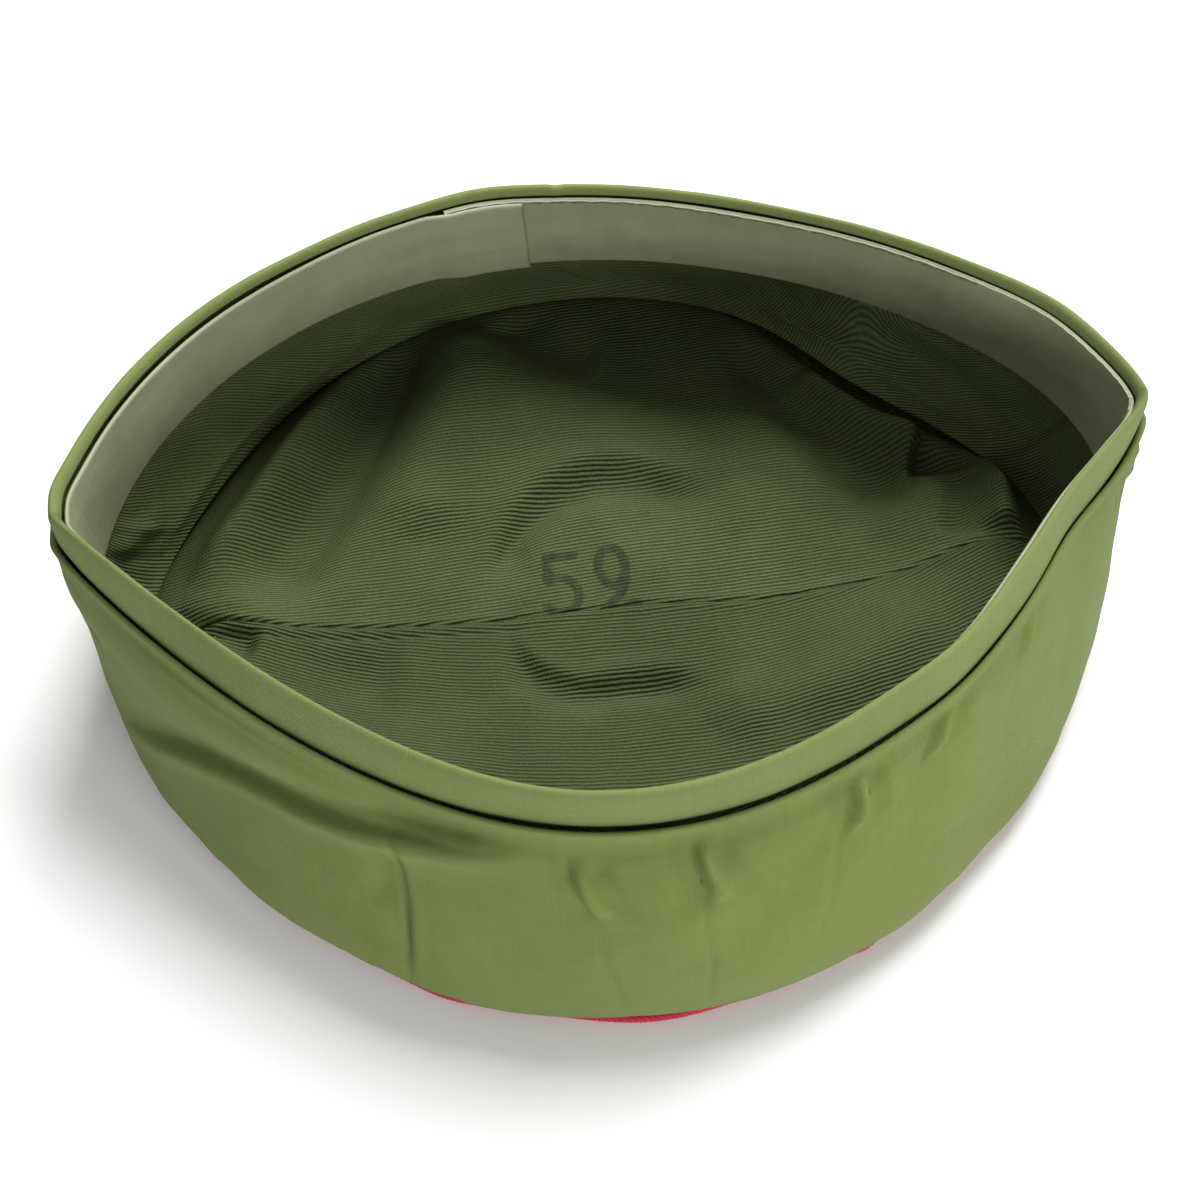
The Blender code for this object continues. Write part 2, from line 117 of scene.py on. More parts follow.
# Lifts of the sweatband's foot: turn, half width, share of its height
SWEAT_LIFTS = (
    (0.030, 0.050, 0.10),
)
# Folds: three points as turn and share up the side, half width and swell
SIDE_FOLDS = (
    (0.520, 0.80, 0.600, 0.80, 0.680, 0.93, 9.0, 2.4),
    (0.560, 0.38, 0.625, 0.63, 0.684, 0.84, 4.2, -1.1),
    (0.672, 0.83, 0.690, 0.87, 0.713, 0.915, 3.0, -1.3),
    (0.640, 0.62, 0.670, 0.73, 0.705, 0.85, 4.0, 1.5),
    (0.6745, 0.75, 0.674, 0.50, 0.672, 0.22, 3.0, -0.9),
    (0.505, 0.55, 0.520, 0.45, 0.540, 0.30, 6.0, -1.0),
    (0.724, 0.79, 0.727, 0.74, 0.735, 0.70, 4.5, 1.1),
    (0.765, 0.82, 0.768, 0.76, 0.766, 0.66, 4.5, 1.4),
    (0.776, 0.80, 0.785, 0.70, 0.780, 0.58, 6.5, -1.2),
    (0.812, 0.86, 0.814, 0.80, 0.812, 0.72, 4.0, 1.2),
    (0.823, 0.80, 0.828, 0.70, 0.822, 0.56, 7.0, -1.5),
    (0.842, 0.86, 0.846, 0.82, 0.848, 0.74, 4.0, 1.0),
    (0.900, 0.55, 0.930, 0.50, 0.960, 0.45, 12.0, 1.0),
    (0.150, 0.75, 0.190, 0.62, 0.240, 0.72, 9.0, -1.4),
    (0.120, 0.45, 0.190, 0.38, 0.260, 0.46, 10.0, 1.3),
    (0.300, 0.74, 0.345, 0.60, 0.390, 0.70, 8.0, -1.4),
    (0.330, 0.42, 0.390, 0.34, 0.450, 0.46, 10.0, 1.2),
    (0.020, 0.78, 0.060, 0.70, 0.100, 0.74, 7.0, 1.2),
)
# Finer puckers and wrinkles of the outer side, same columns
SIDE_WRINKLES = (
    (0.7640, 0.66, 0.7660, 0.55, 0.7680, 0.40, 1.4, -0.35),
    (0.5120, 0.86, 0.5220, 0.80, 0.5300, 0.72, 1.8, -0.4),
    (0.5450, 0.90, 0.5800, 0.88, 0.6200, 0.90, 1.6, 0.4),
    (0.0400, 0.84, 0.0480, 0.76, 0.0460, 0.66, 1.6, -0.5),
    (0.0900, 0.85, 0.1000, 0.77, 0.1020, 0.68, 1.4, 0.45),
    (0.1500, 0.86, 0.1580, 0.78, 0.1560, 0.68, 1.3, -0.5),
    (0.2100, 0.86, 0.2150, 0.78, 0.2240, 0.70, 1.4, 0.45),
    (0.2500, 0.84, 0.2500, 0.50, 0.2500, 0.18, 0.6, -0.5),
    (0.2900, 0.85, 0.3000, 0.78, 0.2980, 0.70, 1.4, -0.5),
    (0.3700, 0.86, 0.3760, 0.78, 0.3860, 0.70, 1.5, 0.45),
    (0.4400, 0.84, 0.4450, 0.76, 0.4400, 0.66, 1.4, -0.5),
    (0.9400, 0.84, 0.9480, 0.74, 0.9460, 0.62, 1.8, -0.5),
    (0.9750, 0.80, 0.9850, 0.68, 0.9900, 0.54, 2.2, 0.5),
    (0.1800, 0.30, 0.2050, 0.26, 0.2300, 0.30, 2.4, -0.4),
    (0.3500, 0.30, 0.3800, 0.25, 0.4100, 0.28, 2.4, -0.4),
    (0.0300, 0.36, 0.0600, 0.30, 0.0900, 0.34, 2.4, 0.4),
)
# Folds and finer wrinkles of the side lining, same columns
LINING_FOLDS = (
    (0.425, 0.20, 0.445, 0.28, 0.462, 0.42, 5.0, 2.0),
    (0.455, 0.25, 0.462, 0.40, 0.466, 0.55, 5.0, 0.8),
    (0.060, 0.30, 0.095, 0.45, 0.150, 0.50, 9.0, 2.5),
    (0.205, 0.20, 0.200, 0.40, 0.190, 0.60, 7.0, 1.6),
    (0.300, 0.15, 0.310, 0.35, 0.330, 0.55, 8.0, 1.6),
    (0.700, 0.20, 0.705, 0.40, 0.700, 0.60, 9.0, 1.4),
    (0.840, 0.20, 0.835, 0.40, 0.840, 0.60, 9.0, 1.4),
)
LINING_WRINKLES = (
    (0.0520, 0.06, 0.0420, 0.40, 0.0360, 0.86, 0.8, -0.9),
    (0.0560, 0.10, 0.0460, 0.40, 0.0400, 0.80, 1.6, 0.7),
    (0.4350, 0.10, 0.4480, 0.34, 0.4600, 0.60, 1.3, 0.9),
    (0.4480, 0.06, 0.4600, 0.28, 0.4700, 0.50, 1.6, -0.9),
    (0.0900, 0.20, 0.1150, 0.26, 0.1500, 0.22, 2.6, -0.9),
    (0.0800, 0.50, 0.1000, 0.60, 0.1300, 0.66, 3.2, 0.8),
    (0.1500, 0.15, 0.1700, 0.35, 0.1700, 0.60, 3.0, -0.8),
    (0.2350, 0.15, 0.2450, 0.35, 0.2400, 0.60, 3.0, 0.8),
    (0.3600, 0.15, 0.3650, 0.35, 0.3750, 0.60, 3.0, -0.8),
    (0.4000, 0.15, 0.3950, 0.30, 0.4050, 0.50, 2.6, 0.8),
    (0.5600, 0.20, 0.5700, 0.40, 0.5600, 0.60, 4.0, 0.8),
    (0.6300, 0.20, 0.6400, 0.40, 0.6300, 0.60, 4.0, -0.8),
    (0.7700, 0.20, 0.7650, 0.40, 0.7700, 0.60, 4.0, -0.8),
    (0.9200, 0.20, 0.9300, 0.40, 0.9200, 0.60, 4.0, 0.8),
)
# Folds of the crown lining: three points as shares of the half sizes, half width and rise
CROWN_FOLDS = (
    (-0.21, 0.09, -0.05, 0.29, 0.23, 0.25, 5.5, -1.5),
    (-0.21, -0.06, -0.07, -0.24, 0.17, -0.24, 5.5, -1.3),
    (-0.40, 0.85, -0.53, 0.58, -0.66, 0.32, 7.5, 4.2),
    (-0.34, 0.86, -0.42, 0.56, -0.60, 0.26, 7.5, -1.7),
    (-0.25, 0.80, -0.20, 0.70, -0.16, 0.62, 8.0, 2.0),
    (0.04, 0.86, 0.17, 0.64, 0.34, 0.38, 14.0, -1.6),
    (0.36, 0.62, 0.46, 0.42, 0.60, 0.18, 9.0, 2.6),
    (0.46, 0.40, 0.60, 0.22, 0.74, 0.28, 7.0, -1.8),
    (0.76, 0.30, 0.84, 0.20, 0.84, 0.08, 4.5, 2.4),
    (-0.80, 0.30, -0.85, 0.20, -0.87, 0.08, 5.0, -1.6),
    (-0.40, -0.50, 0.00, -0.62, 0.40, -0.50, 16.0, 1.6),
)
# Height of the crown lining between its folds, and the height that it stays above
LINING_LOFT = 8.0
LINING_LOWEST = 2.6
# How far the crown lining reaches under the foot of the side lining, and how far it drops there
SEAM_TUCK = 1.6
SEAM_DROP = 1.2
# Gap between the two halves of the crown lining
MID_GAP = 0.12
# Shift of the seam across the crown lining: place along the length, shift
MID_SEAM = (
    (-110.0, 0.0),
    (-99.0, 6.0),
    (-75.0, 3.0),
    (-43.0, -0.3),
    (-16.0, -1.8),
    (8.0, -2.4),
    (36.0, -3.8),
    (52.0, -3.6),
    (73.0, -1.6),
    (94.0, 1.5),
    (110.0, 0.0),
)
# Broad swells of the crown lining: centre, half widths in mm, turned by degrees, rise
CROWN_SWELLS = (
    (2.0, 3.0, 25.0, 21.0, 0.0, 1.6),
    (-8.0, 50.0, 22.0, 30.0, 15.0, 5.0),
    (40.0, 34.0, 18.0, 26.0, -35.0, 3.4),
    (-92.0, -6.0, 22.0, 30.0, 0.0, 5.0),
    (92.0, 12.0, 18.0, 26.0, 0.0, 7.0),
    (72.0, -22.0, 30.0, 18.0, 12.0, 3.6),
    (-40.0, -45.0, 34.0, 18.0, -10.0, 3.0),
)
# Long folds of the crown lining in mm: points, half width, rise
CROWN_LINES = (
    (((-46.0, 96.0), (-56.0, 78.0), (-70.0, 56.0), (-84.0, 36.0), (-98.0, 16.0)), 5.0, 4.6),
    (((-38.0, 96.0), (-48.0, 72.0), (-60.0, 49.0), (-73.0, 27.0), (-84.0, 8.0)), 8.5, -6.5),
    (((-24.0, 92.0), (-31.0, 66.0), (-38.0, 46.0), (-42.0, 22.0)), 11.0, 4.4),
    (((-14.0, 92.0), (-4.0, 78.0), (10.0, 74.0)), 8.0, -3.6),
    (((56.0, 62.0), (64.0, 48.5), (72.5, 40.0), (80.0, 37.0), (88.0, 39.0)), 5.0, 6.2),
    (((40.0, 76.0), (54.0, 51.0), (66.0, 33.0), (80.0, 19.0)), 8.5, -6.5),
    (((80.0, 33.0), (88.5, 29.5), (97.0, 30.0)), 5.0, -9.0),
    (((101.0, 30.0), (98.5, 18.0), (96.0, 2.0)), 4.2, 5.4),
    (((90.0, 24.0), (88.0, 14.0), (84.0, 4.0)), 4.0, -3.0),
    (((-25.0, 8.0), (-21.4, 19.2), (-6.9, 31.0), (8.0, 33.0), (28.9, 26.0)), 4.4, -2.4),
    (((-27.5, 3.0), (-26.0, 18.0), (-9.0, 37.0), (8.0, 40.5), (30.0, 33.0)), 3.6, 1.2),
    (((-25.1, -8.0), (-20.8, -18.2), (-12.1, -24.0), (0.0, -24.0), (20.5, -25.0)), 3.2, -1.9),
    (((-24.0, -4.0), (-18.0, -13.5), (-10.0, -18.5), (0.0, -18.5), (18.0, -19.5)), 2.6, 0.9),
    (((-106.0, 10.0), (-94.0, 4.0), (-82.0, -2.0)), 4.0, -4.0),
    (((-84.0, -18.0), (-58.0, -34.0), (-32.0, -54.0)), 8.0, 2.6),
    (((-96.0, 0.0), (-74.0, -8.0), (-48.0, -14.0)), 8.0, -2.2),
    (((16.0, -34.0), (44.0, -30.0), (78.0, -14.0)), 9.0, 2.4),
)
# Finer wrinkles of the crown lining, columns as for its folds
CROWN_WRINKLES = (
    (-0.22, 0.09, -0.08, 0.27, 0.22, 0.26, 2.0, -0.55),
    (-0.21, -0.06, -0.10, -0.20, 0.16, -0.25, 1.8, -0.5),
    (-0.47, 0.84, -0.58, 0.58, -0.72, 0.34, 2.4, 0.6),
    (-0.30, 0.80, -0.36, 0.62, -0.48, 0.42, 3.0, 0.6),
    (0.30, 0.72, 0.42, 0.52, 0.56, 0.30, 3.0, 0.6),
    (0.52, 0.46, 0.64, 0.34, 0.78, 0.30, 2.4, -0.8),
    (0.80, 0.40, 0.84, 0.34, 0.86, 0.26, 2.2, -1.0),
    (0.70, 0.10, 0.80, 0.14, 0.90, 0.12, 2.4, 0.6),
    (0.86, 0.10, 0.90, 0.05, 0.92, -0.02, 2.0, -0.7),
    (-0.90, 0.12, -0.80, 0.05, -0.70, 0.03, 2.2, -0.6),
    (-0.72, -0.14, -0.50, -0.30, -0.30, -0.40, 6.0, 0.5),
    (0.10, -0.34, 0.40, -0.30, 0.66, -0.18, 6.0, 0.5),
)
# Places where the piping shows: turn, half width, shift out
CORD_PEEKS = (
    (0.683, 0.014, 1.3),
    (0.745, 0.022, 1.5),
    (0.813, 0.006, 1.2),
)


def glide(marks, rows, at):
    """Smooth values of the table rows at the given marks."""
    rows, marks, at = np.array(rows, float), np.array(marks, float), np.asarray(at, float)
    step = np.diff(marks)
    slope = np.diff(rows, axis=0) / step[:, None]
    mid = (slope[:-1] * step[1:, None] + slope[1:] * step[:-1, None]) / (step[1:] + step[:-1])[:, None]
    slope = np.vstack([slope[:1], mid, slope[-1:]])
    i = np.clip(np.searchsorted(marks, at, side="right") - 1, 0, len(marks) - 2)
    h = step[i]
    t = (at - marks[i]) / h
    basis = (2 * t**3 - 3 * t**2 + 1, (t**3 - 2 * t**2 + t) * h, 3 * t**2 - 2 * t**3, (t**3 - t**2) * h)
    return [basis[0] * rows[i, k] + basis[1] * slope[i, k] + basis[2] * rows[i + 1, k]
            + basis[3] * slope[i + 1, k] for k in range(rows.shape[1])]


def profile_marks(rows):
    """Share of the way up each row of a side table stands."""
    table = np.array(rows, float)
    step = np.hypot(np.diff(table[:, 2] * HALF_DEPTH), np.diff(table[:, 0] * HEIGHT))
    marks = np.concatenate([[0.0], np.cumsum(step)])
    return marks / marks[-1]


def heights(rows):
    """First column of a table."""
    return [row[0] for row in rows]


def lengths(path):
    """Length along a path up to each of its points."""
    return np.concatenate([[0.0], np.cumsum(np.linalg.norm(np.diff(path, axis=0), axis=1))])


def unit(v):
    """Vectors scaled to length 1."""
    return v / np.linalg.norm(v, axis=-1, keepdims=True)


def laid(across, rise):
    """Map of a grid from its places across and its places up."""
    return np.stack(np.broadcast_arrays(across[None, :], rise[:, None]), axis=-1)


def past(turn, place):
    """Turn past a place, the short way round."""
    return (turn - place + 0.5) % 1.0 - 0.5


def plateau(turn, place, width):
    """Flat-topped bump round a place, 0 to 1."""
    return np.exp(-(past(turn, place) / width) ** 4)


def bumps(turn, rows, column):
    """Sum of soft bumps round the cap from a table of turn, half width and amounts."""
    total = 0.0 * turn
    for row in rows:
        total = total + row[column] * np.exp(-(past(turn, row[0]) / row[1]) ** 2)
    return total


def rim_reach(turn, up, marks, columns):
    """Growth of a ring by the rim's bends; the marks are heights that take the listed columns."""
    total = 1.0 + 0.0 * turn
    for k, column in enumerate(columns):
        share = np.interp(up, marks, np.eye(len(marks))[k])
        if column:
            total = total + share * bumps(turn, RIM_BENDS, column)
    return total


def oval(turn, values, inset=0.0, reach=1.0):
    """Points of a lens-shaped ring."""
    length, front, back, front_power, back_power, blunt, front_shift, back_shift = values
    angle = 2 * np.pi * turn
    c, s = np.cos(angle), np.sin(angle)
    size = np.abs(s)
    at_back = s >= -1e-12
    power = np.where(at_back, back_power, front_power)
    depth = np.where(at_back, back, -front) * HALF_DEPTH
    depth = depth - np.sign(depth) * inset
    curve = (1 - blunt) * size ** power + blunt * size
    x = (length * HALF_LENGTH - inset) * c * reach
    x = x + np.where(at_back, back_shift, front_shift) * HALF_LENGTH * s * s
    return x, depth * curve * reach


def lift(turn, z):
    """Height with the raised ends of the rim."""
    return z + TIP_LIFT * np.clip(z / HEIGHT, 0, 2) ** 2 * np.abs(np.cos(2 * np.pi * turn)) ** 4


def beside_line(p, q, u, v, reach):
    """Which points are near a line, their squared distance, share of the way along and side of travel."""
    near = (p > u.min() - reach) & (p < u.max() + reach) & (q > v.min() - reach) & (q < v.max() + reach)
    p, q = p[near], q[near]
    best = np.full(p.shape, 1e9)
    along, side = np.zeros(p.shape), np.ones(p.shape)
    steps = len(u) - 1
    for k in range(steps):
        du, dv = u[k + 1] - u[k], v[k + 1] - v[k]
        s = np.clip(((p - u[k]) * du + (q - v[k]) * dv) / (du * du + dv * dv + 1e-12), 0, 1)
        gap = (p - u[k] - s * du) ** 2 + (q - v[k] - s * dv) ** 2
        closer = gap < best
        along = np.where(closer, (k + s) / steps, along)
        side = np.where(closer, np.sign(du * (q - v[k]) - dv * (p - u[k])), side)
        best = np.minimum(best, gap)
    return near, best, along, side


def crease(p, q, points, width):
    """Strength, 0 to 1, of a fold along a curve through three points, on a flat map."""
    (a, b), (c, d), (e, f) = points
    t = np.linspace(0, 1, 13)
    w = ((1 - t) * (1 - 2 * t), 4 * t * (1 - t), t * (2 * t - 1))
    u, v = w[0] * a + w[1] * c + w[2] * e, w[0] * b + w[1] * d + w[2] * f
    near, gap, along, _ = beside_line(p, q, u, v, 3.2 * width)
    total = np.zeros(np.shape(p))
    total[near] = np.exp(-gap / width**2) * (0.4 + 0.6 * np.sin(np.pi * along))
    return total


def trace(p, q, line, reach):
    """Signed distance, plus on the left of travel, and share of the way along a smooth line."""
    line = np.array(line, float)
    marks = lengths(line)
    u, v = glide(marks, line, np.linspace(0, marks[-1] * 0.99999, 33))
    away, share = np.full(np.shape(p), 1e3), np.zeros(np.shape(p))
    near, gap, along, side = beside_line(p, q, u, v, reach)
    away[near] = np.sqrt(gap) * side
    share[near] = along
    return away, share


def taper(share, low=0.18, high=0.18):
    """Ease in and out along a fold."""
    a = np.clip(share / low, 0, 1)
    b = np.clip((1 - share) / high, 0, 1)
    return a * a * (3 - 2 * a) * b * b * (3 - 2 * b)


def side_swell(turn, up, folds):
    """Outward swell of the listed folds."""
    total = 0.0 * turn
    for t0, u0, t1, u1, t2, u2, width, swell in folds:
        points = ((t0 * GIRTH, u0 * RISE), (t1 * GIRTH, u1 * RISE), (t2 * GIRTH, u2 * RISE))
        near = past(turn, t1) + t1
        total = total + swell * crease(near * GIRTH, up * RISE, points, width)
    return total


def ring_normals(p):
    """Unit normals of a ring grid without its closing column, pointing out."""
    around = np.roll(p, -1, axis=1) - np.roll(p, 1, axis=1)
    return unit(np.cross(around, np.gradient(p, axis=0)))


def patch_normals(p):
    """Unit normals of an open grid, pointing up."""
    n = unit(np.cross(np.gradient(p, axis=1), np.gradient(p, axis=0)))
    return n * np.sign(n[..., 2:3] + 1e-12)


def waves(p, seed, short, long, count=14):
    """Soft uneven surface, about -1 to 1, from crossing waves through space."""
    rng = np.random.default_rng(seed)
    total = np.zeros(p.shape[:-1])
    for _ in range(count):
        d = rng.normal(size=3)
        d = d / np.linalg.norm(d)
        length = short * (long / short) ** rng.random()
        total = total + np.sin(2 * np.pi * (p @ d) / length + rng.random() * 2 * np.pi)
    return total / np.sqrt(count)


def closed(p):
    """The grid with its first column repeated at its end."""
    return np.concatenate([p, p[:, :1]], axis=1)


def flat_across(count):
    """Places across the flat map, with a narrow margin."""
    return 0.002 + 0.996 * np.linspace(0, 1, count)


class Cloth:
    """Points and faces, with a map in mm of the cloth and a flat map from 0 to 1."""

    def __init__(self):
        self.points, self.faces, self.count = [], [], 0
        self.values = []

    def add(self, p, value=0.0):
        flat = np.asarray(p, float).reshape(-1, 3)
        index = self.count + np.arange(len(flat)).reshape(np.shape(p)[:-1])
        self.points.append(flat)
        self.values.append(np.broadcast_to(value, np.shape(p)[:-1]).reshape(-1))
        self.count += len(flat)
        return index

    def quads(self, index, cloth, flat):
        def corners(a):
            c = np.stack([a[:-1, :-1], a[:-1, 1:], a[1:, 1:], a[1:, :-1]], axis=2)
            return c.reshape((-1, 4) + a.shape[2:])
        self.faces.append((corners(index), corners(cloth), corners(flat)))

    def fan(self, fine, coarse, k, back=False):
        """Triangles from a fine edge to a coarse one with k times fewer steps."""
        n = len(coarse[0]) - 1
        h = k // 2
        j = np.arange(n)
        low = (np.arange(k)[None, :] + k * j[:, None]).ravel()
        owner = np.where(np.tile(np.arange(k), n) < h, np.repeat(j, k), np.repeat(j, k) + 1)
        parts = []
        for f, c in zip(fine, coarse):
            wide = np.stack([f[low], f[low + 1], c[owner]], axis=1)
            middle = np.stack([f[k * j + h], c[j + 1], c[j]], axis=1)
            tri = np.concatenate([wide, middle])
            parts.append(tri[:, ::-1] if back else tri)
        self.faces.append(tuple(parts))

    def strips(self, index, cloth, low, high, count):
        """Faces of a grid, cut into strips that lie one above the other in the flat map."""
        each = (index.shape[1] - 1) // count
        v = np.linspace(0, 1, index.shape[0])
        tall = (high - low) / count
        for s in range(count):
            part = slice(s * each, (s + 1) * each + 1)
            flat = laid(flat_across(each + 1), low + tall * (s + 0.01 + 0.98 * v))
            self.quads(index[:, part], cloth[:, part], flat)

    def close(self, index, cloth, hidden, hidden_cloth, k):
        """Narrow faces from both edges of a fine strip to its coarse hidden face."""
        across = flat_across(index.shape[1])
        edge, lower = (np.stack([across, 0 * across + FINE_SHARE + gap], axis=-1) for gap in (0.004, 0.012))
        self.fan((index[-1], cloth[-1], edge), (hidden[0], hidden_cloth[0], lower[::k]), k)
        self.fan((index[0], cloth[0], edge), (hidden[-1], hidden_cloth[-1], lower[::k]), k, back=True)

    def make(self, name, material, value_name=None):
        mesh = bpy.data.meshes.new(name)
        points = np.concatenate(self.points) * 0.001
        loops = np.concatenate([f[0].ravel() for f in self.faces]).astype(np.int32)
        sizes = np.concatenate([np.full(len(f[0]), f[0].shape[1]) for f in self.faces])
        mesh.vertices.add(len(points))
        mesh.vertices.foreach_set("co", points.ravel().astype(np.float32))
        mesh.loops.add(len(loops))
        mesh.loops.foreach_set("vertex_index", loops)
        mesh.polygons.add(len(sizes))
        mesh.polygons.foreach_set("loop_start", np.concatenate([[0], np.cumsum(sizes)[:-1]]).astype(np.int32))
        for k, label in ((1, "cloth"), (2, "OFBake")):
            layer = mesh.uv_layers.new(name=label)
            values = np.concatenate([f[k].reshape(-1, 2) for f in self.faces])
            layer.uv.foreach_set("vector", values.ravel().astype(np.float32))
        mesh.update(calc_edges=True)
        mesh.validate()
        if value_name:
            attribute = mesh.attributes.new(value_name, "FLOAT", "POINT")
            attribute.data.foreach_set("value", np.concatenate(self.values).astype(np.float32))
        mesh.shade_smooth()
        mesh.materials.append(material)
        piece = bpy.data.objects.new(name, mesh)
        bpy.context.scene.collection.objects.link(piece)
        mesh.calc_loop_triangles()
        corner = np.zeros(len(mesh.loop_triangles) * 3, np.int32)
        mesh.loop_triangles.foreach_get("vertices", corner)
        a, b, c = (points[corner.reshape(-1, 3)[:, i]] for i in range(3))
        if np.einsum("ij,ij->", a, np.cross(b, c)) < 0:
            mesh.flip_normals()
        return piece


def dress(piece, node):
    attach(piece, "root")
    if node:
        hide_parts(node)
    return piece


def rolled(face, normal, out, thickness, degrees):
    """Rows round a cut edge at the given angles from the visible face."""
    half = thickness / 2
    middle = face - normal * half
    return np.array([middle + half * (normal * np.cos(a) + out * np.sin(a)) for a in np.radians(degrees)])


def widened(cloth, steps):
    """Cloth map with three more rows at each edge."""
    wide = np.concatenate([np.repeat(cloth[:1], 3, axis=0), cloth, np.repeat(cloth[-1:], 3, axis=0)])
    wide[:3, :, 1] -= steps[::-1, None]
    wide[-3:, :, 1] += steps[:, None]
    return wide


def ring_cloth(name, material, p, thickness, k_columns, k_rows, cloth, inward=False, deeper=None):
    """Closed strip of cloth: a fine visible face, rolled edges and a coarse hidden face."""
    n = ring_normals(p) * (-1.0 if inward else 1.0)
    p, n = closed(p), closed(n)
    through = thickness if deeper is None else thickness + closed(deeper)[..., None]
    foot = rolled(p[0], n[0], unit(p[0] - p[1]), thickness, (140.0, 90.0, 40.0))
    top = rolled(p[-1], n[-1], unit(p[-1] - p[-2]), thickness, (40.0, 90.0, 140.0))
    grid = np.concatenate([foot, p, top])
    wide = widened(cloth, np.cumsum(np.array([0.3, 0.4, 0.4]) * thickness))
    body = Cloth()
    index = closed(body.add(grid[:, :-1]))
    body.strips(index, wide, 0.0, FINE_SHARE, 4)
    hidden = (p - n * through)[::k_rows, ::k_columns][::-1]
    hidden_cloth = cloth[::k_rows, ::k_columns][::-1]
    hidden_index = closed(body.add(hidden[:, :-1]))
    body.strips(hidden_index, hidden_cloth, FINE_SHARE + 0.02, 1.0, 1)
    body.close(index, wide, hidden_index, hidden_cloth, k_columns)
    return body.make(name, material)


def lowest_patch(values, reach):
    """Lowest value within so many steps on an open grid."""
    low = values
    for _ in range(reach):
        wide = np.pad(low, 1, mode="edge")
        low = np.minimum(low, np.minimum(wide[:-2, 1:-1], wide[2:, 1:-1]))
        low = np.minimum(low, np.minimum(wide[1:-1, :-2], wide[1:-1, 2:]))
    return low


def patch_cloth(name, material, p, thickness, k, cloth, value=0.0, value_name=None):
    """Open panel of cloth: a fine visible face, rolled edges and a coarse hidden face."""
    n = patch_normals(p)
    value = np.broadcast_to(value, p.shape[:2])
    body = Cloth()
    rows, columns = p.shape[:2]
    index = body.add(p, value)
    v, u = np.meshgrid(np.linspace(0, 1, rows), np.linspace(0, 1, columns), indexing="ij")
    flat = np.stack([0.012 + 0.976 * u, 0.012 + 0.796 * v], axis=-1)
    body.quads(index, cloth, flat)

    def border(a):
        return np.concatenate([a[0, :-1], a[:-1, -1], a[-1, :0:-1], a[:0:-1, 0], a[:1, 0]])

    edge, normal, edge_flat, edge_cloth = border(p), border(n), border(flat), border(cloth)
    along = np.roll(edge[:-1], -1, axis=0) - np.roll(edge[:-1], 1, axis=0)
    out = np.cross(along, normal[:-1])
    middle = p.reshape(-1, 3).mean(axis=0)
    out = out / (np.linalg.norm(out, axis=-1, keepdims=True) + 1e-12)
    out = out * np.sign(np.einsum("ij,ij->i", out, edge[:-1] - middle))[:, None]
    rolls = rolled(edge[:-1], normal[:-1], out, thickness, (140.0, 90.0, 40.0))
    ring = closed(body.add(rolls, border(value)[None, :-1]))
    ring = np.concatenate([ring, border(index)[None]])
    from_middle = edge_flat - np.array([0.5, 0.41])
    away = np.sign(from_middle) * (np.abs(from_middle) > np.array([0.4875, 0.3975]))
    flats = np.array([edge_flat + away * s for s in (0.009, 0.006, 0.003, 0.0)])
    body.quads(ring, np.repeat(edge_cloth[None], 4, axis=0), flats)
    hidden = p - n * thickness
    if thickness > 0:
        calm = np.clip(np.minimum(np.minimum(u, 1 - u), np.minimum(v, 1 - v)) / 0.04, 0, 1)
        hidden[..., 2] -= (p[..., 2] - lowest_patch(p[..., 2], k)) * calm
    hidden_index = body.add(hidden[::k, ::k], value[::k, ::k])
    hidden_flat = np.stack([0.012 + 0.976 * u, 0.84 + 0.15 * v], axis=-1)[::k, ::k]
    body.quads(hidden_index[::-1], cloth[::k, ::k][::-1], hidden_flat[::-1])
    body.fan((ring[0], edge_cloth, flats[0]),
             (border(hidden_index), edge_cloth[::k], (edge_flat + away * 0.012)[::k]), k, back=True)
    return body.make(name, material, value_name)


def tube(name, material, path, radius, sides=8, strand=0.0, twist=0.0, loop=False, body=None, done=True):
    """Round thread or cord along a path; strands twist round it."""
    path = np.asarray(path, float)
    ahead = unit(np.roll(path, -1, axis=0) - np.roll(path, 1, axis=0) if loop else np.gradient(path, axis=0))
    side = np.cross(ahead, [0.0, 0.0, 1.0])
    flatness = np.linalg.norm(side, axis=1, keepdims=True)
    side = np.where(flatness > 1e-6, side / np.maximum(flatness, 1e-6), [1.0, 0.0, 0.0])
    rise = np.cross(side, ahead)
    far = lengths(path)
    angle = 2 * np.pi * np.arange(sides) / sides
    phase = angle[:, None] - twist * far[None, :]
    r = radius * (1 + strand * np.cos(3 * phase))
    grid = path[None] + r[..., None] * (side[None] * np.cos(angle)[:, None, None]
                                        + rise[None] * np.sin(angle)[:, None, None])
    body = body or Cloth()
    index = body.add(grid)
    if loop:
        index = closed(index)
        far = np.append(far, far[-1] + np.linalg.norm(path[0] - path[-1]))
    index = np.concatenate([index, index[:1]])
    v = np.linspace(0, 1, sides + 1)[:, None]
    cloth = np.stack([far[None] + 0 * v, v * 2 * np.pi * radius + 0 * far[None]], axis=-1)
    flat = np.stack([far[None] / far[-1] + 0 * v, v + 0 * far[None]], axis=-1)
    body.quads(index, cloth, flat)
    if not loop:
        for end, flip in ((0, True), (-1, False)):
            ring = index[:-1, end]
            tip = body.add((path[end] + ahead[end] * radius * (0.5 if end else -0.5))[None])
            a, b = ring, np.roll(ring, -1)
            tri = np.stack([a, b, np.repeat(tip, sides)], axis=1)
            if flip:
                tri = tri[:, ::-1]
            zero = np.zeros((sides, 3, 2)) + [[0.0, 0.0], [0.01, 0.0], [0.0, 0.01]]
            body.faces.append((tri, zero, zero))
    return body.make(name, material) if done else body


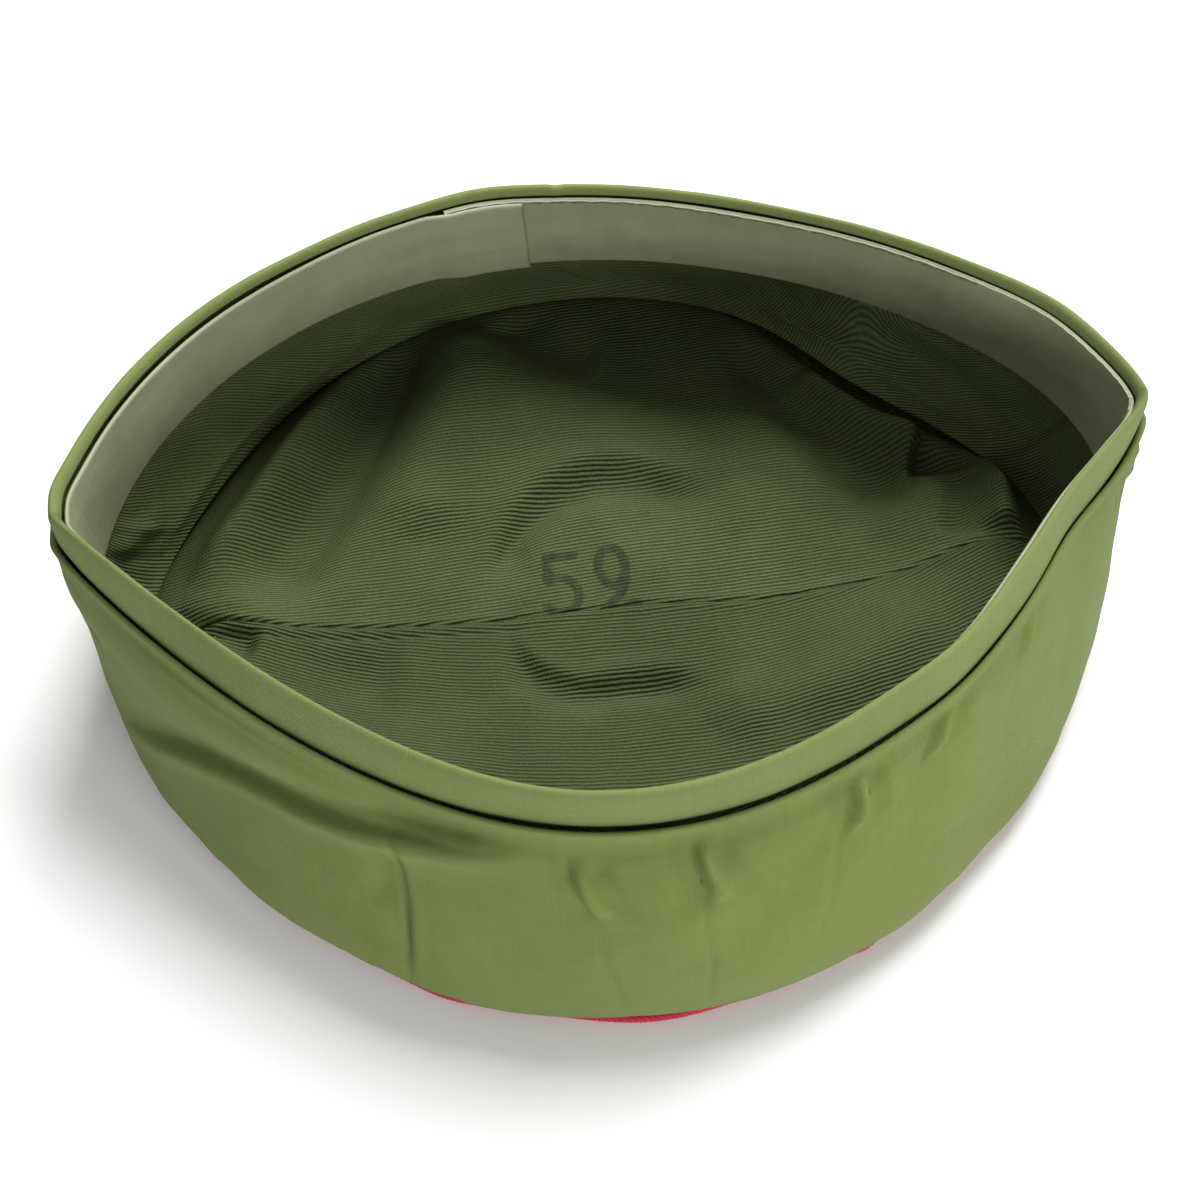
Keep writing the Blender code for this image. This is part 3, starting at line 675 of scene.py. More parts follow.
# Spacing of the plain weave's threads, of the twill's ribs and of the slanting threads in them
WEAVE_PITCH = 0.46
RIB_PITCH = 0.94
STRAND_PITCH = 0.74


class Shader:
    """Small helper round a material's nodes."""

    def __init__(self, name, roughness, sheen=0.0, specular=0.5):
        self.material = bpy.data.materials.new(name)
        self.material.use_nodes = True
        self.tree = self.material.node_tree
        self.surface = self.tree.nodes["Principled BSDF"]
        self.surface.inputs["Roughness"].default_value = roughness
        self.surface.inputs["Specular IOR Level"].default_value = specular
        if sheen:
            self.surface.inputs["Sheen Weight"].default_value = sheen
            self.surface.inputs["Sheen Roughness"].default_value = 0.5

    def node(self, kind, **settings):
        node = self.tree.nodes.new("ShaderNode" + kind)
        for key, value in settings.items():
            setattr(node, key, value)
        return node

    def put(self, value, socket):
        if isinstance(value, (int, float)):
            socket.default_value = value
        elif isinstance(value, tuple):
            socket.default_value = value if len(value) != 3 or socket.type == "VECTOR" else (*value, 1.0)
        else:
            self.tree.links.new(value, socket)

    def math(self, operation, a, b=0.0, c=0.0):
        node = self.node("Math", operation=operation)
        for value, socket in zip((a, b, c), node.inputs):
            self.put(value, socket)
        return node.outputs[0]

    def times(self, a, b):
        return self.math("MULTIPLY", a, b)

    def plus(self, a, b):
        return self.math("ADD", a, b)

    def blend(self, a, b, c):
        """a times b, plus c."""
        return self.math("MULTIPLY_ADD", a, b, c)

    def map(self):
        return self.node("UVMap", uv_map="cloth").outputs["UV"]

    def split(self, vector):
        node = self.node("SeparateXYZ")
        self.put(vector, node.inputs[0])
        return node.outputs[0], node.outputs[1]

    def stretch(self, vector, x, y):
        node = self.node("Mapping", vector_type="POINT")
        self.put(vector, node.inputs["Vector"])
        node.inputs["Scale"].default_value = (x, y, 1.0)
        return node.outputs[0]

    def noise(self, vector, scale, detail=2.0, rough=0.5, w=None):
        node = self.node("TexNoise", noise_dimensions="4D" if w is not None else "3D")
        self.put(vector, node.inputs["Vector"])
        node.inputs["Scale"].default_value = scale
        node.inputs["Detail"].default_value = detail
        node.inputs["Roughness"].default_value = rough
        if w is not None:
            node.inputs["W"].default_value = w
        return node.outputs[0]

    def span(self, value, low, high, to_low=0.0, to_high=1.0, smooth=False):
        node = self.node("MapRange", interpolation_type="SMOOTHSTEP" if smooth else "LINEAR")
        self.put(value, node.inputs["Value"])
        for key, number in (("From Min", low), ("From Max", high), ("To Min", to_low), ("To Max", to_high)):
            node.inputs[key].default_value = number
        return node.outputs[0]

    def mix(self, share, a, b):
        node = self.node("Mix", data_type="RGBA", blend_type="MIX")
        for value, socket in ((share, 0), (a, 6), (b, 7)):
            self.put(value, node.inputs[socket])
        return node.outputs[2]

    def bump(self, height, distance):
        node = self.node("Bump")
        node.inputs["Strength"].default_value = 1.0
        node.inputs["Distance"].default_value = distance
        self.put(height, node.inputs["Height"])
        return node.outputs[0]

    def out(self, colour, normal, roughness=None):
        self.put(colour, self.surface.inputs["Base Color"])
        self.put(normal, self.surface.inputs["Normal"])
        if roughness is not None:
            self.put(roughness, self.surface.inputs["Roughness"])
        return self.material


def poplin(name, light, dark, seed):
    """Plain weave with thick and thin threads both ways, faded a little in patches."""
    s = Shader(name, 0.86, sheen=0.03, specular=0.2)
    uv = s.map()
    u, v = s.split(uv)
    weft = s.noise(s.stretch(uv, 0.06, 2.6), 1.0, 2.0, 0.6, seed)
    warp = s.noise(s.stretch(uv, 2.6, 0.06), 1.0, 2.0, 0.6, seed + 3.0)
    grain = s.noise(uv, 2.2, 3.0, 0.7, seed + 5.0)
    cloud = s.noise(uv, 0.035, 3.0, 0.55, seed + 7.0)
    a = s.math("SINE", s.times(u, 2 * np.pi / WEAVE_PITCH))
    b = s.math("SINE", s.times(v, 2 * np.pi / WEAVE_PITCH))
    weave = s.times(a, b)
    slub = s.plus(s.times(weft, 0.5), s.times(warp, 0.5))
    tone = s.plus(s.times(slub, 0.55), s.times(grain, 0.25))
    tone = s.plus(tone, s.times(cloud, 0.30))
    # The weave's low points get slightly darker colour, in step with the bump: a small painted shade between the
    # threads.
    tone = s.blend(weave, 0.03, tone)
    colour = s.mix(s.span(tone, 0.36, 0.74), dark, light)
    height = s.plus(s.times(slub, 0.6), s.times(grain, 0.25))
    height = s.blend(weave, 0.18, height)
    return s.out(colour, s.bump(height, 0.00022))


def twill(name, ridge, valley, seed, ink=False):
    """Ribs, each of short slanting threads, with the rib valleys painted darker as shade, and with the size number
    printed if asked.
    """
    s = Shader(name, 0.80, specular=0.2)
    uv = s.map()
    u, v = s.split(uv)
    sway = s.noise(uv, 0.04, 2.0, 0.5, seed)
    fine = s.noise(uv, 0.5, 2.0, 0.5, seed + 2.0)
    phase = s.blend(sway, 2.0, s.math("DIVIDE", v, RIB_PITCH))
    phase = s.blend(fine, 0.30, phase)
    rib = s.blend(s.math("SINE", s.times(phase, 2 * np.pi)), 0.5, 0.5)
    lean = s.plus(s.math("DIVIDE", u, STRAND_PITCH), s.times(phase, 0.55))
    strand = s.blend(s.math("SINE", s.times(lean, 2 * np.pi)), 0.5, 0.5)
    grain = s.noise(uv, 1.7, 3.0, 0.65, seed + 4.0)
    cloud = s.noise(uv, 0.05, 3.0, 0.55, seed + 6.0)
    rounded = s.math("POWER", rib, 0.75)
    height = s.times(rounded, s.blend(strand, 0.22, 0.78))
    height = s.blend(grain, 0.22, height)
    # The tone follows the same rib profile as the bump height, so the rib valleys get the dark colour: painted shade
    # in the grooves.
    tone = s.times(rounded, s.blend(strand, 0.20, 0.80))
    tone = s.blend(s.math("SUBTRACT", grain, 0.5), 1.5, tone)
    tone = s.blend(s.math("SUBTRACT", cloud, 0.5), 0.8, tone)
    colour = s.mix(s.span(tone, -0.05, 1.05), valley, ridge)
    if ink:
        away = s.node("Attribute", attribute_name="ink").outputs["Fac"]
        worn = s.noise(s.stretch(uv, 0.5, 0.3), 1.0, 3.0, 0.6, 31.0)
        rough = s.noise(s.stretch(uv, 1.4, 0.9), 1.0, 3.0, 0.7, 37.0)
        edge = s.blend(s.math("SUBTRACT", rough, 0.5), 1.6, away)
        mark = s.span(edge, 0.70, 1.60, 1.0, 0.0, smooth=True)
        mark = s.times(mark, s.blend(rib, 0.42, 0.28))
        mark = s.times(mark, s.span(worn, 0.30, 0.62, 0.55, 1.25))
        colour = s.mix(mark, colour, (0.012, 0.014, 0.012))
    return s.out(colour, s.bump(height, 0.00034))


def coated(name):
    """Smooth backed cloth of the sweatband, clouded and lightly scuffed."""
    s = Shader(name, 0.5, specular=0.4)
    uv = s.map()
    cloud = s.noise(uv, 0.05, 4.0, 0.6, 1.0)
    streak = s.noise(s.stretch(uv, 0.03, 0.45), 1.0, 3.0, 0.6, 4.0)
    upright = s.noise(s.stretch(uv, 0.35, 0.04), 1.0, 2.0, 0.5, 6.0)
    fleck = s.noise(uv, 1.8, 3.0, 0.7, 9.0)
    tone = s.plus(s.times(cloud, 0.5), s.times(streak, 0.25))
    tone = s.blend(upright, 0.20, tone)
    tone = s.blend(fleck, 0.10, tone)
    colour = s.mix(s.span(tone, 0.38, 0.68), (0.250, 0.264, 0.160), (0.318, 0.336, 0.212))
    rough = s.span(cloud, 0.3, 0.7, 0.42, 0.62)
    height = s.blend(upright, 0.7, s.times(fleck, 0.12))
    return s.out(colour, s.bump(height, 0.00025), rough)


def thread(name, colour, dark, pitch=0.5):
    """Twisted thread or cord, with the grooves of its lay painted darker as shade."""
    s = Shader(name, 0.7, sheen=0.1, specular=0.3)
    uv = s.map()
    u, v = s.split(uv)
    lay = s.math("SINE", s.times(s.blend(v, 1.2, u), 2 * np.pi / pitch))
    lay = s.blend(lay, 0.5, 0.5)
    fuzz = s.noise(uv, 1.5, 3.0, 0.6, 2.0)
    # The same tone drives colour and bump, so the lay's grooves get the dark colour: painted shade between the
    # strands, with random fuzz in the tone.
    tone = s.blend(lay, 0.6, s.times(fuzz, 0.5))
    return s.out(s.mix(s.span(tone, 0.1, 1.0), dark, colour), s.bump(tone, 0.0001))


SHELL = poplin("shell_cloth", (0.182, 0.232, 0.066), (0.126, 0.168, 0.042), 0.0)
HEM = poplin("hem_cloth", (0.200, 0.250, 0.080), (0.142, 0.184, 0.054), 20.0)
# One lining cloth in three copies: the side lining's copy is painted lighter as painted light, the crown halves are
# painted darker as painted shade, and the front half is darkest as painted shade under the front rim.
LINED = twill("lining_twill", (0.158, 0.200, 0.072), (0.064, 0.084, 0.029), 0.0)
LINED_FRONT_PAINTED_SHADE = twill("lining_twill_front_painted_shade", (0.084, 0.109, 0.037), (0.031, 0.042, 0.014), 50.0)
PRINTED = twill("lining_twill_printed", (0.100, 0.129, 0.044), (0.037, 0.050, 0.017), 80.0, ink=True)
COATED = coated("coated_cloth")
RED = thread("red_cord", (0.60, 0.022, 0.060), (0.30, 0.008, 0.028), 1.6)
CREAM = thread("cream_thread", (0.50, 0.52, 0.36), (0.30, 0.32, 0.20), 0.5)
GREEN = thread("green_thread", (0.20, 0.25, 0.09), (0.10, 0.13, 0.04), 0.45)


# Lip of the outer side round the foot of the band: where it starts, how far it still leans in, shift out
LIP_START = 0.90
LIP_LEAN = 0.35
LIP_OUT = 0.50
LIP_OUT_AT_ENDS = 0.60
# Changes of the lip's shift: turn, half width, shift
LIP_BENDS = (
    (0.635, 0.090, 0.25),
    (0.900, 0.045, -0.30),
)
# Tucks of the outer side: line as turn and share up the side, cut, reach above and ledge below
SIDE_TUCKS = (
    (((0.530, 0.16), (0.5675, 0.360), (0.6008, 0.520), (0.6342, 0.650), (0.6633, 0.745), (0.6800, 0.800),
      (0.6960, 0.825), (0.7140, 0.880)), 2.3, 5.5, 1.0),
    (((0.6560, 0.775), (0.6720, 0.825), (0.6880, 0.855), (0.7050, 0.885)), 0.9, 2.2, 0.3),
)
# Long folds of the outer side: line, half width, swell
SIDE_LINES = (
    (((0.6752, 0.830), (0.6742, 0.48), (0.6722, 0.06)), 0.62, -1.3),
    (((0.6780, 0.810), (0.6772, 0.48), (0.6752, 0.10)), 1.5, 0.6),
    (((0.6680, 0.72), (0.6690, 0.58), (0.6640, 0.40)), 3.0, -1.2),
    (((0.5060, 0.880), (0.5150, 0.780), (0.5320, 0.640), (0.5500, 0.500)), 3.0, -1.0),
    (((0.9500, 0.900), (0.9620, 0.780), (0.9650, 0.640)), 3.4, -1.0),
    (((0.9780, 0.900), (0.9850, 0.760), (0.9840, 0.600)), 3.0, 1.0),
    (((0.720, 0.50), (0.760, 0.44), (0.800, 0.50)), 9.0, -0.9),
    (((0.850, 0.62), (0.880, 0.50), (0.910, 0.40)), 9.0, -1.0),
)
# Gathers of the outer side under the rim: turn, share up the side, length, size and lean
GATHERS = (
    (0.7235, 0.785, 10.5, 1.0, 0.20),
    (0.7570, 0.820, 11.0, 1.3, 0.05),
    (0.8015, 0.845, 9.0, 1.2, -0.20),
    (0.8310, 0.855, 6.5, 0.7, -0.30),
    (0.8720, 0.850, 6.0, 0.5, -0.30),
    (0.4700, 0.830, 8.0, 0.40, 0.20),
    (0.3800, 0.840, 7.0, 0.35, -0.20),
    (0.3050, 0.835, 7.5, 0.45, 0.15),
    (0.2150, 0.840, 7.0, 0.40, -0.15),
    (0.1300, 0.835, 7.0, 0.40, 0.20),
    (0.0450, 0.830, 7.5, 0.35, -0.20),
)
# Profile of a gather: place across in mm, half width, swell, share of the length
GATHER_PARTS = (
    (0.0, 1.00, -2.2, 1.0),
    (3.1, 2.0, 2.2, 0.9),
    (8.2, 2.4, -2.0, 1.0),
    (-4.0, 3.0, -0.7, 1.5),
)
# Most that a gather may cut into the side
GATHER_DEEPEST = 1.05
# Most that the side lining gives way to a dent of the outer side, so that it stays behind the sweatband
LINING_FOLLOW = 1.5


def near_front(turn):
    """Turn measured so that the front and both ends are in one piece."""
    return (turn - 0.25) % 1.0 + 0.25


def tuck_swell(turn, up, return_reach=1.0, more_reach=0.0):
    """Swell of the tucks: a slope in from above, then a return to the ledge below."""
    total = 0.0 * turn
    for line, cut, reach, ledge in SIDE_TUCKS:
        line = [(a * GIRTH, b * RISE) for a, b in line]
        away, share = trace(near_front(turn) * GIRTH, up * RISE, line, 30.0)
        ease = taper(share, 0.35, 0.20)
        above, below = np.maximum(away, 0.0), np.minimum(away, 0.0)
        fall = (below / return_reach) ** 2 + (above / (reach + more_reach)) ** 1.5
        total = total - ease * cut * np.exp(-fall)
        total = total + ease * ledge * np.exp(-((away + 2.6) / 2.0) ** 2)
    return total


def lowest_near(values, rows, columns):
    """Lowest value within so many rows and columns of a ring grid."""
    low = values
    for _ in range(columns):
        low = np.minimum(low, np.minimum(np.roll(low, 1, axis=1), np.roll(low, -1, axis=1)))
    for _ in range(rows):
        wide = np.pad(low, ((1, 1), (0, 0)), mode="edge")
        low = np.minimum(low, np.minimum(wide[:-2], wide[2:]))
    return low


def outer_side():
    columns = 640
    even = np.arange(columns) / columns
    turns = even - 0.35 * np.sin(2 * np.pi * (even - 0.75)) / (2 * np.pi)
    ups = np.concatenate([np.linspace(0, 0.12, 16)[:-1], np.linspace(0.12, 0.90, 86)[:-1],
                          np.linspace(0.90, 1.0, 17)])
    turn, up = np.meshgrid(turns, ups)
    marks = profile_marks(SIDE)
    lip = np.clip((up - LIP_START) / (1 - LIP_START), 0, 1)
    held = LIP_LEAN * (1 - np.exp(-lip / LIP_LEAN)) * (1 - LIP_START)
    values = glide(marks, SIDE, up)
    z = lift(turn, values[0] * HEIGHT)
    values = glide(marks, SIDE, np.where(lip > 0, LIP_START + held, up))
    x, y = oval(turn, values[1:], 0.0, rim_reach(turn, up, (0.5, 0.95), (0, 3)))
    p = np.stack([x, y, z], axis=-1)
    n = ring_normals(p)
    edge = np.clip(up / 0.15, 0, 1) * np.clip((0.99 - up) / 0.08, 0, 1)
    swell = side_swell(turn, up, SIDE_FOLDS) * edge
    soft = np.clip(up / 0.10, 0, 1) * np.clip((0.965 - up) / 0.06, 0, 1)
    swell = swell + side_swell(turn, up, SIDE_WRINKLES) * soft
    swell = swell + (0.32 * waves(p, 3, 26.0, 60.0) + 0.10 * waves(p, 4, 7.0, 16.0, 18)) * soft
    left = bumps(turn, ((0.63, 0.16, 1.0),), 2)
    swell = swell - 0.30 * np.exp(-((up - 0.880) / 0.022) ** 2) * (0.30 + 0.70 * left)
    swell = swell + tuck_swell(turn, up)
    flat_u, flat_v = near_front(turn) * GIRTH, up * RISE
    gathers = 0.0 * turn
    for place, height, length, size, lean in GATHERS:
        down = height * RISE - flat_v
        across = flat_u - near_front(place) * GIRTH - lean * down - 0.4 * np.sin(down / 3.2 + 40 * place)
        across = across / (0.72 + 0.28 * np.clip(down / length, 0, 1.5))
        for spot, width, rise, stretch in GATHER_PARTS:
            hold = np.exp(-((down - 0.25 * length) / (0.62 * length * stretch)) ** 4)
            gathers = gathers + size * rise * np.exp(-((across - spot) / width) ** 2) * hold
        tail = np.exp(-((down - 2.2 * length) / (1.6 * length)) ** 4)
        gathers = gathers - 0.35 * size * np.exp(-(across / 0.8) ** 2) * tail
    cut = GATHER_DEEPEST * np.tanh(np.minimum(gathers, 0) / GATHER_DEEPEST)
    swell = swell + np.maximum(gathers, 0) + cut
    for line, width, rise in SIDE_LINES:
        away, share = trace(flat_u, flat_v, [(a * GIRTH, b * RISE) for a, b in line], 3 * width)
        swell = swell + rise * np.exp(-(away / width) ** 2) * taper(share, 0.25, 0.35)
    pinch = 0.16 * np.sin(2 * np.pi * turn * 150 + 2.2 * np.sin(2 * np.pi * turn * 17))
    swell = swell + pinch * np.exp(-((up - 0.045) / 0.035) ** 2) * np.clip(up / 0.02, 0, 1)
    p = p + n * swell[..., None]
    p[..., 2] += 1.3 * bumps(turn, ((0.7575, 0.0045, 1.0),), 2) * np.clip(1 - up / 0.09, 0, 1)
    out = LIP_OUT + LIP_OUT_AT_ENDS * np.cos(2 * np.pi * turn) ** 4 + bumps(turn, LIP_BENDS, 2)
    p[..., :2] += unit(n[..., :2]) * (out * lip * lip * (3 - 2 * lip))[..., None]
    cloth = laid(np.append(turns, turns[0] + 1) * SIDE_ROUND, lengths(p[:, columns // 4]))
    deeper = (swell - lowest_near(swell, 2, 4)) * np.clip((1 - up) / 0.06, 0, 1) * np.clip(up / 0.10, 0, 1)
    piece = ring_cloth("outer_side", SHELL, p, SHELL_CLOTH, 4, 2, cloth, deeper=deeper)
    return dress(piece, "side_wall")


def side_lining():
    columns = 576
    turns = np.arange(columns) / columns
    ups = np.linspace(0, 1, 101)
    turn, up = np.meshgrid(turns, ups)
    values = glide(profile_marks(LINING), LINING, up)
    z = lift(turn, values[0] * HEIGHT)
    x, y = oval(turn, values[1:], 0.0, rim_reach(turn, up, (0.5, 1.0), (0, 3)))
    seam, plain = seam_line(turn), oval(turn, LINING[0][1:])
    keep = np.clip(1 - up, 0, 1) ** 2.2
    x, y = x + keep * (seam[0] - plain[0]), y + keep * (seam[1] - plain[1])
    z = z + keep * (seam[2] - LINING[0][0] * HEIGHT)
    p = np.stack([x, y, z], axis=-1)
    n = ring_normals(p)
    edge = np.clip(up / 0.12, 0, 1) * np.clip((0.95 - up) / 0.25, 0, 1)
    swell = side_swell(turn, up, LINING_FOLDS) * edge
    beside = np.interp(values[0], heights(SIDE), profile_marks(SIDE))
    dent = side_swell(turn, beside, SIDE_FOLDS) + tuck_swell(turn, beside, 6.0, 4.0)
    follow = LINING_FOLLOW * np.tanh(1.15 * np.minimum(dent, 0.0) / LINING_FOLLOW)
    swell = swell - follow * np.clip((0.97 - up) / 0.17, 0, 1)
    soft = np.clip(up / 0.06, 0, 1) * np.clip((0.92 - up) / 0.20, 0, 1)
    swell = swell + side_swell(turn, up, LINING_WRINKLES) * soft
    swell = swell + (0.30 * waves(p, 13, 22.0, 50.0) + 0.10 * waves(p, 14, 8.0, 15.0, 18)) * soft
    over = 4.6 * plateau(turn, 0.385, 0.060) + 5.0 * plateau(turn, 0.118, 0.050)
    swell = swell + over * np.exp(-((up - 0.11) / 0.09) ** 2)
    p = p - n * swell[..., None]
    across = unit(n[0, :, :2])
    climb = np.concatenate([np.zeros((1, columns)),
                            np.cumsum(np.linalg.norm(np.diff(p, axis=0), axis=2), axis=0)])
    spread = p[0, :, :2][None] + across[None] * climb[..., None]
    cloth = closed(np.stack([spread[..., 0], spread[..., 1] - 0.05 * spread[..., 0]], axis=-1))
    piece = ring_cloth("side_twill", LINED, p, LINING_CLOTH, 8, 4, cloth, inward=True)
    return dress(piece, "side_lining")


def seam_line(turn, inset=0.0):
    """The crown seam inside."""
    x, y = oval(turn, LINING[0][1:], inset)
    shrink = 1.0 - bumps(turn, SEAM_PULLS, 2)
    z = LINING[0][0] * HEIGHT + HEIGHT * bumps(turn, SEAM_PULLS, 3)
    return x * shrink, y * shrink, z


def disc_map(across, along):
    """Square coordinates to turn and share of the way out."""
    reach = np.maximum(np.abs(across), np.abs(along))
    safe = np.where(reach > 0, reach, 1.0)
    a, b = across / safe, along / safe
    side = np.where(np.abs(a) >= np.abs(b) - 1e-12, np.where(a > 0, b, 4 - b), np.where(b > 0, 2 - a, 6 + a))
    return (side / 8.0) % 1.0, reach


def outer_crown():
    n = 160
    grid = np.linspace(-1, 1, n + 1)
    across, along = np.meshgrid(grid, grid)
    turn, reach = disc_map(across, along)
    x, y = oval(turn, SIDE[0][1:], GAP)
    x, y = x * reach, y * reach
    flat = np.stack([x, y, 0 * x], axis=-1)
    hollow = np.clip(waves(flat, 41, 30.0, 70.0) - 0.5, 0, 1) * 0.35
    pinch = 0.16 * (0.5 + 0.5 * np.sin(2 * np.pi * turn * 90)) * np.exp(-((reach - 0.965) / 0.012) ** 2)
    hem = 0.22 * np.exp(-((reach - 0.935) / 0.008) ** 2)
    z = hollow * np.clip((1 - reach) / 0.2, 0, 1) + pinch + hem
    p = np.stack([x, y, z], axis=-1)
    cloth = np.stack([x, y], axis=-1)
    piece = patch_cloth("outer_crown", SHELL, p, -TOP_CLOTH + 0.15, 8, cloth)
    return dress(piece, "top_panel")


def digit_strokes():
    """Centre lines of the size number, as lists of points on the crown lining."""
    def arc(cx, cy, rx, ry, start, end, count=14):
        a = np.radians(np.linspace(start, end, count))
        return [(cx + rx * np.cos(t), cy + ry * np.sin(t)) for t in a]
    five = [(-6.6, 13.4), (-13.0, 13.6), (-13.4, 7.2)]
    bowl = [(-13.4, 7.2)] + arc(-10.8, 2.6, 4.3, 5.0, 125, -150)
    nine = arc(2.2, 9.0, 3.2, 5.2, 0, 360, 26)
    tail = [(5.4, 9.0), (5.0, 4.6), (3.0, 0.6), (-0.8, -2.2)]
    return five, bowl, nine, tail, [(4.6, -1.9), (6.8, -1.8)]


def ink_distance(x, y):
    """Distance to the nearest stroke of the size number."""
    best = np.full(x.shape, INK_REACH)
    near = (np.abs(x + 3) < 22) & (np.abs(y - 6) < 18)
    px, py = x[near], y[near]
    d = np.full(px.shape, INK_REACH**2)
    for line in digit_strokes():
        for (ax, ay), (bx, by) in zip(line[:-1], line[1:]):
            dx, dy = bx - ax, by - ay
            t = np.clip(((px - ax) * dx + (py - ay) * dy) / (dx * dx + dy * dy + 1e-9), 0, 1)
            d = np.minimum(d, (px - ax - t * dx) ** 2 + (py - ay - t * dy) ** 2)
    best[near] = np.minimum(np.sqrt(d), INK_REACH)
    return best


def mid_shift(x):
    """Shift of the seam across the crown lining at a place along the length."""
    return glide(heights(MID_SEAM), [row[1:] for row in MID_SEAM], np.clip(x, -110, 110))[0]


def crown_half(name, node, back, material):
    n, m = 320, 160
    step = np.linspace(0, 1, m + 1)
    across, along = np.meshgrid(np.linspace(-1, 1, n + 1), step)
    turn, reach = disc_map(across, along if back else -along)
    x0, y0, z0 = seam_line(turn, -SEAM_TUCK)
    plain_x, plain_y = oval(turn, LINING[0][1:], -SEAM_TUCK)
    x = plain_x * reach + (x0 - plain_x) * reach**3
    y = plain_y * reach + (y0 - plain_y) * reach**3
    y = y + mid_shift(x) * (1 - along) ** 3
    z = LINING_LOFT + (z0 - LINING_LOFT) * reach**6
    z = z - SEAM_DROP * np.exp(-((1 - reach) / 0.022) ** 2)
    for table in (CROWN_FOLDS, CROWN_WRINKLES):
        for a0, b0, a1, b1, a2, b2, width, rise in table:
            points = tuple((a * HALF_LENGTH, b * HALF_DEPTH) for a, b in ((a0, b0), (a1, b1), (a2, b2)))
            z = z + rise * crease(x, y, points, width) * np.clip((1 - reach) / 0.12, 0, 1)
    calm = np.clip((1 - reach) / 0.10, 0, 1)
    for cx, cy, rx, ry, turned, rise in CROWN_SWELLS:
        c, s = np.cos(np.radians(turned)), np.sin(np.radians(turned))
        a, b = ((x - cx) * c + (y - cy) * s) / rx, ((y - cy) * c - (x - cx) * s) / ry
        z = z + rise * np.exp(-(a * a + b * b) ** 1.3) * calm
    for line, width, rise in CROWN_LINES:
        away, share = trace(x, y, line, 3 * width)
        z = z + rise * np.exp(-(away / width) ** 2) * taper(share) * calm
    drop = 2.2 * plateau(turn, 0.385, 0.060) + 4.2 * plateau(turn, 0.120, 0.055)
    z = z - drop * np.exp(-((1 - reach) / 0.055) ** 2)
    z = LINING_LOWEST + 0.5 * (z - LINING_LOWEST + np.sqrt((z - LINING_LOWEST) ** 2 + 1.5))
    off = np.abs(y - mid_shift(x))
    sign = 1 if back else -1
    y = y + sign * MID_GAP / 2 * (along < 1e-9)
    flat = np.stack([x, y, 0 * x], axis=-1)
    soft = np.clip((1 - reach) / 0.08, 0, 1)
    z = z + (0.26 * waves(flat, 23, 20.0, 48.0) + 0.09 * waves(flat, 24, 7.0, 14.0, 18)) * soft
    left = 1 / (1 + np.exp((x + 20) / 8))
    ridge, groove, depth = (0.30, 5.5, 0.12) if back else (0.22, 3.0, 0.35)
    z = z + ridge * np.exp(-((off - 1.1) / 0.9) ** 2) * soft
    z = z - 0.28 * np.exp(-(off / 0.45) ** 2)
    z = z - depth * left * np.exp(-((off - groove) / 0.5) ** 2) * soft
    p = np.stack([x, y, z], axis=-1)
    slant = 0.035 * x if back else 0.0021 * x * x - 0.035 * x
    cloth = np.stack([x, y - slant], axis=-1)
    ink = (ink_distance(x, y), "ink") if back else ()
    piece = patch_cloth(name, material, p, LINING_CLOTH, 8, cloth, *ink)
    return dress(piece, node)


def rim_band():
    columns = 1008
    turns = np.arange(columns) / columns
    foot = HEIGHT - BAND
    outline = ((0.36, -0.20), (0.17, -0.08), (0.01, 0.05), (-0.02, 0.30), (0.0, 0.50), (0.0, 0.68), (0.03, 0.80),
               (0.10, 0.885), (0.22, 0.95), (0.38, 0.988), (0.58, 0.996), (0.80, 0.965), (1.00, 0.905), (1.13, 0.83),
               (1.18, 0.755), (1.12, 0.70), (0.96, 0.685), (0.76, 0.66), (0.60, 0.56), (0.60, 0.24), (0.60, -0.14),
               (0.49, -0.23))
    key = np.linspace(0, 1, len(outline))
    at = np.linspace(0, 1, 44)
    inset, up = glide(key, outline, at)
    joint = bumps(turns, ((0.2385, 0.0016, 1.0),), 2)
    rope = np.sin(2 * np.pi * turns * 240 + 1.7 * np.sin(2 * np.pi * turns * 23))
    rows = []
    for k in range(len(at)):
        values = glide(heights(BAND_FACE), BAND_FACE, np.full(columns, up[k]))
        extra = 0.03 * rope * np.exp(-((at[k] - 0.62) / 0.07) ** 2)
        extra = extra - 0.35 * joint * np.exp(-((at[k] - 0.5) / 0.22) ** 2)
        x, y = oval(turns, values[1:], inset[k] * BAND_CLOTH - extra, rim_reach(turns, up[k], (0.0, 1.0), (3, 2)))
        z = lift(turns, foot + up[k] * BAND) - 0.25 * joint * np.exp(-((at[k] - 0.48) / 0.12) ** 2)
        rows.append(np.stack([x, y, z], axis=-1))
    p = np.array(rows)
    soft = np.exp(-((at - 0.20) / 0.22) ** 2)[:, None]
    outward = np.stack([np.cos(2 * np.pi * turns), np.sin(2 * np.pi * turns), 0 * turns], axis=-1)
    p = p + outward[None] * (0.16 * waves(p, 51, 16.0, 40.0) * soft)[..., None]
    body = Cloth()
    index = closed(body.add(p))
    index = np.concatenate([index, index[:1]])
    girth = lengths(np.concatenate([p, p[:1]])[:, 700])
    cloth = laid(np.linspace(0, 1, columns + 1) * BAND_ROUND, girth)
    body.strips(index, cloth, 0.0, 1.0, 8)
    piece = body.make("rim_band", HEM)
    return dress(piece, "band")


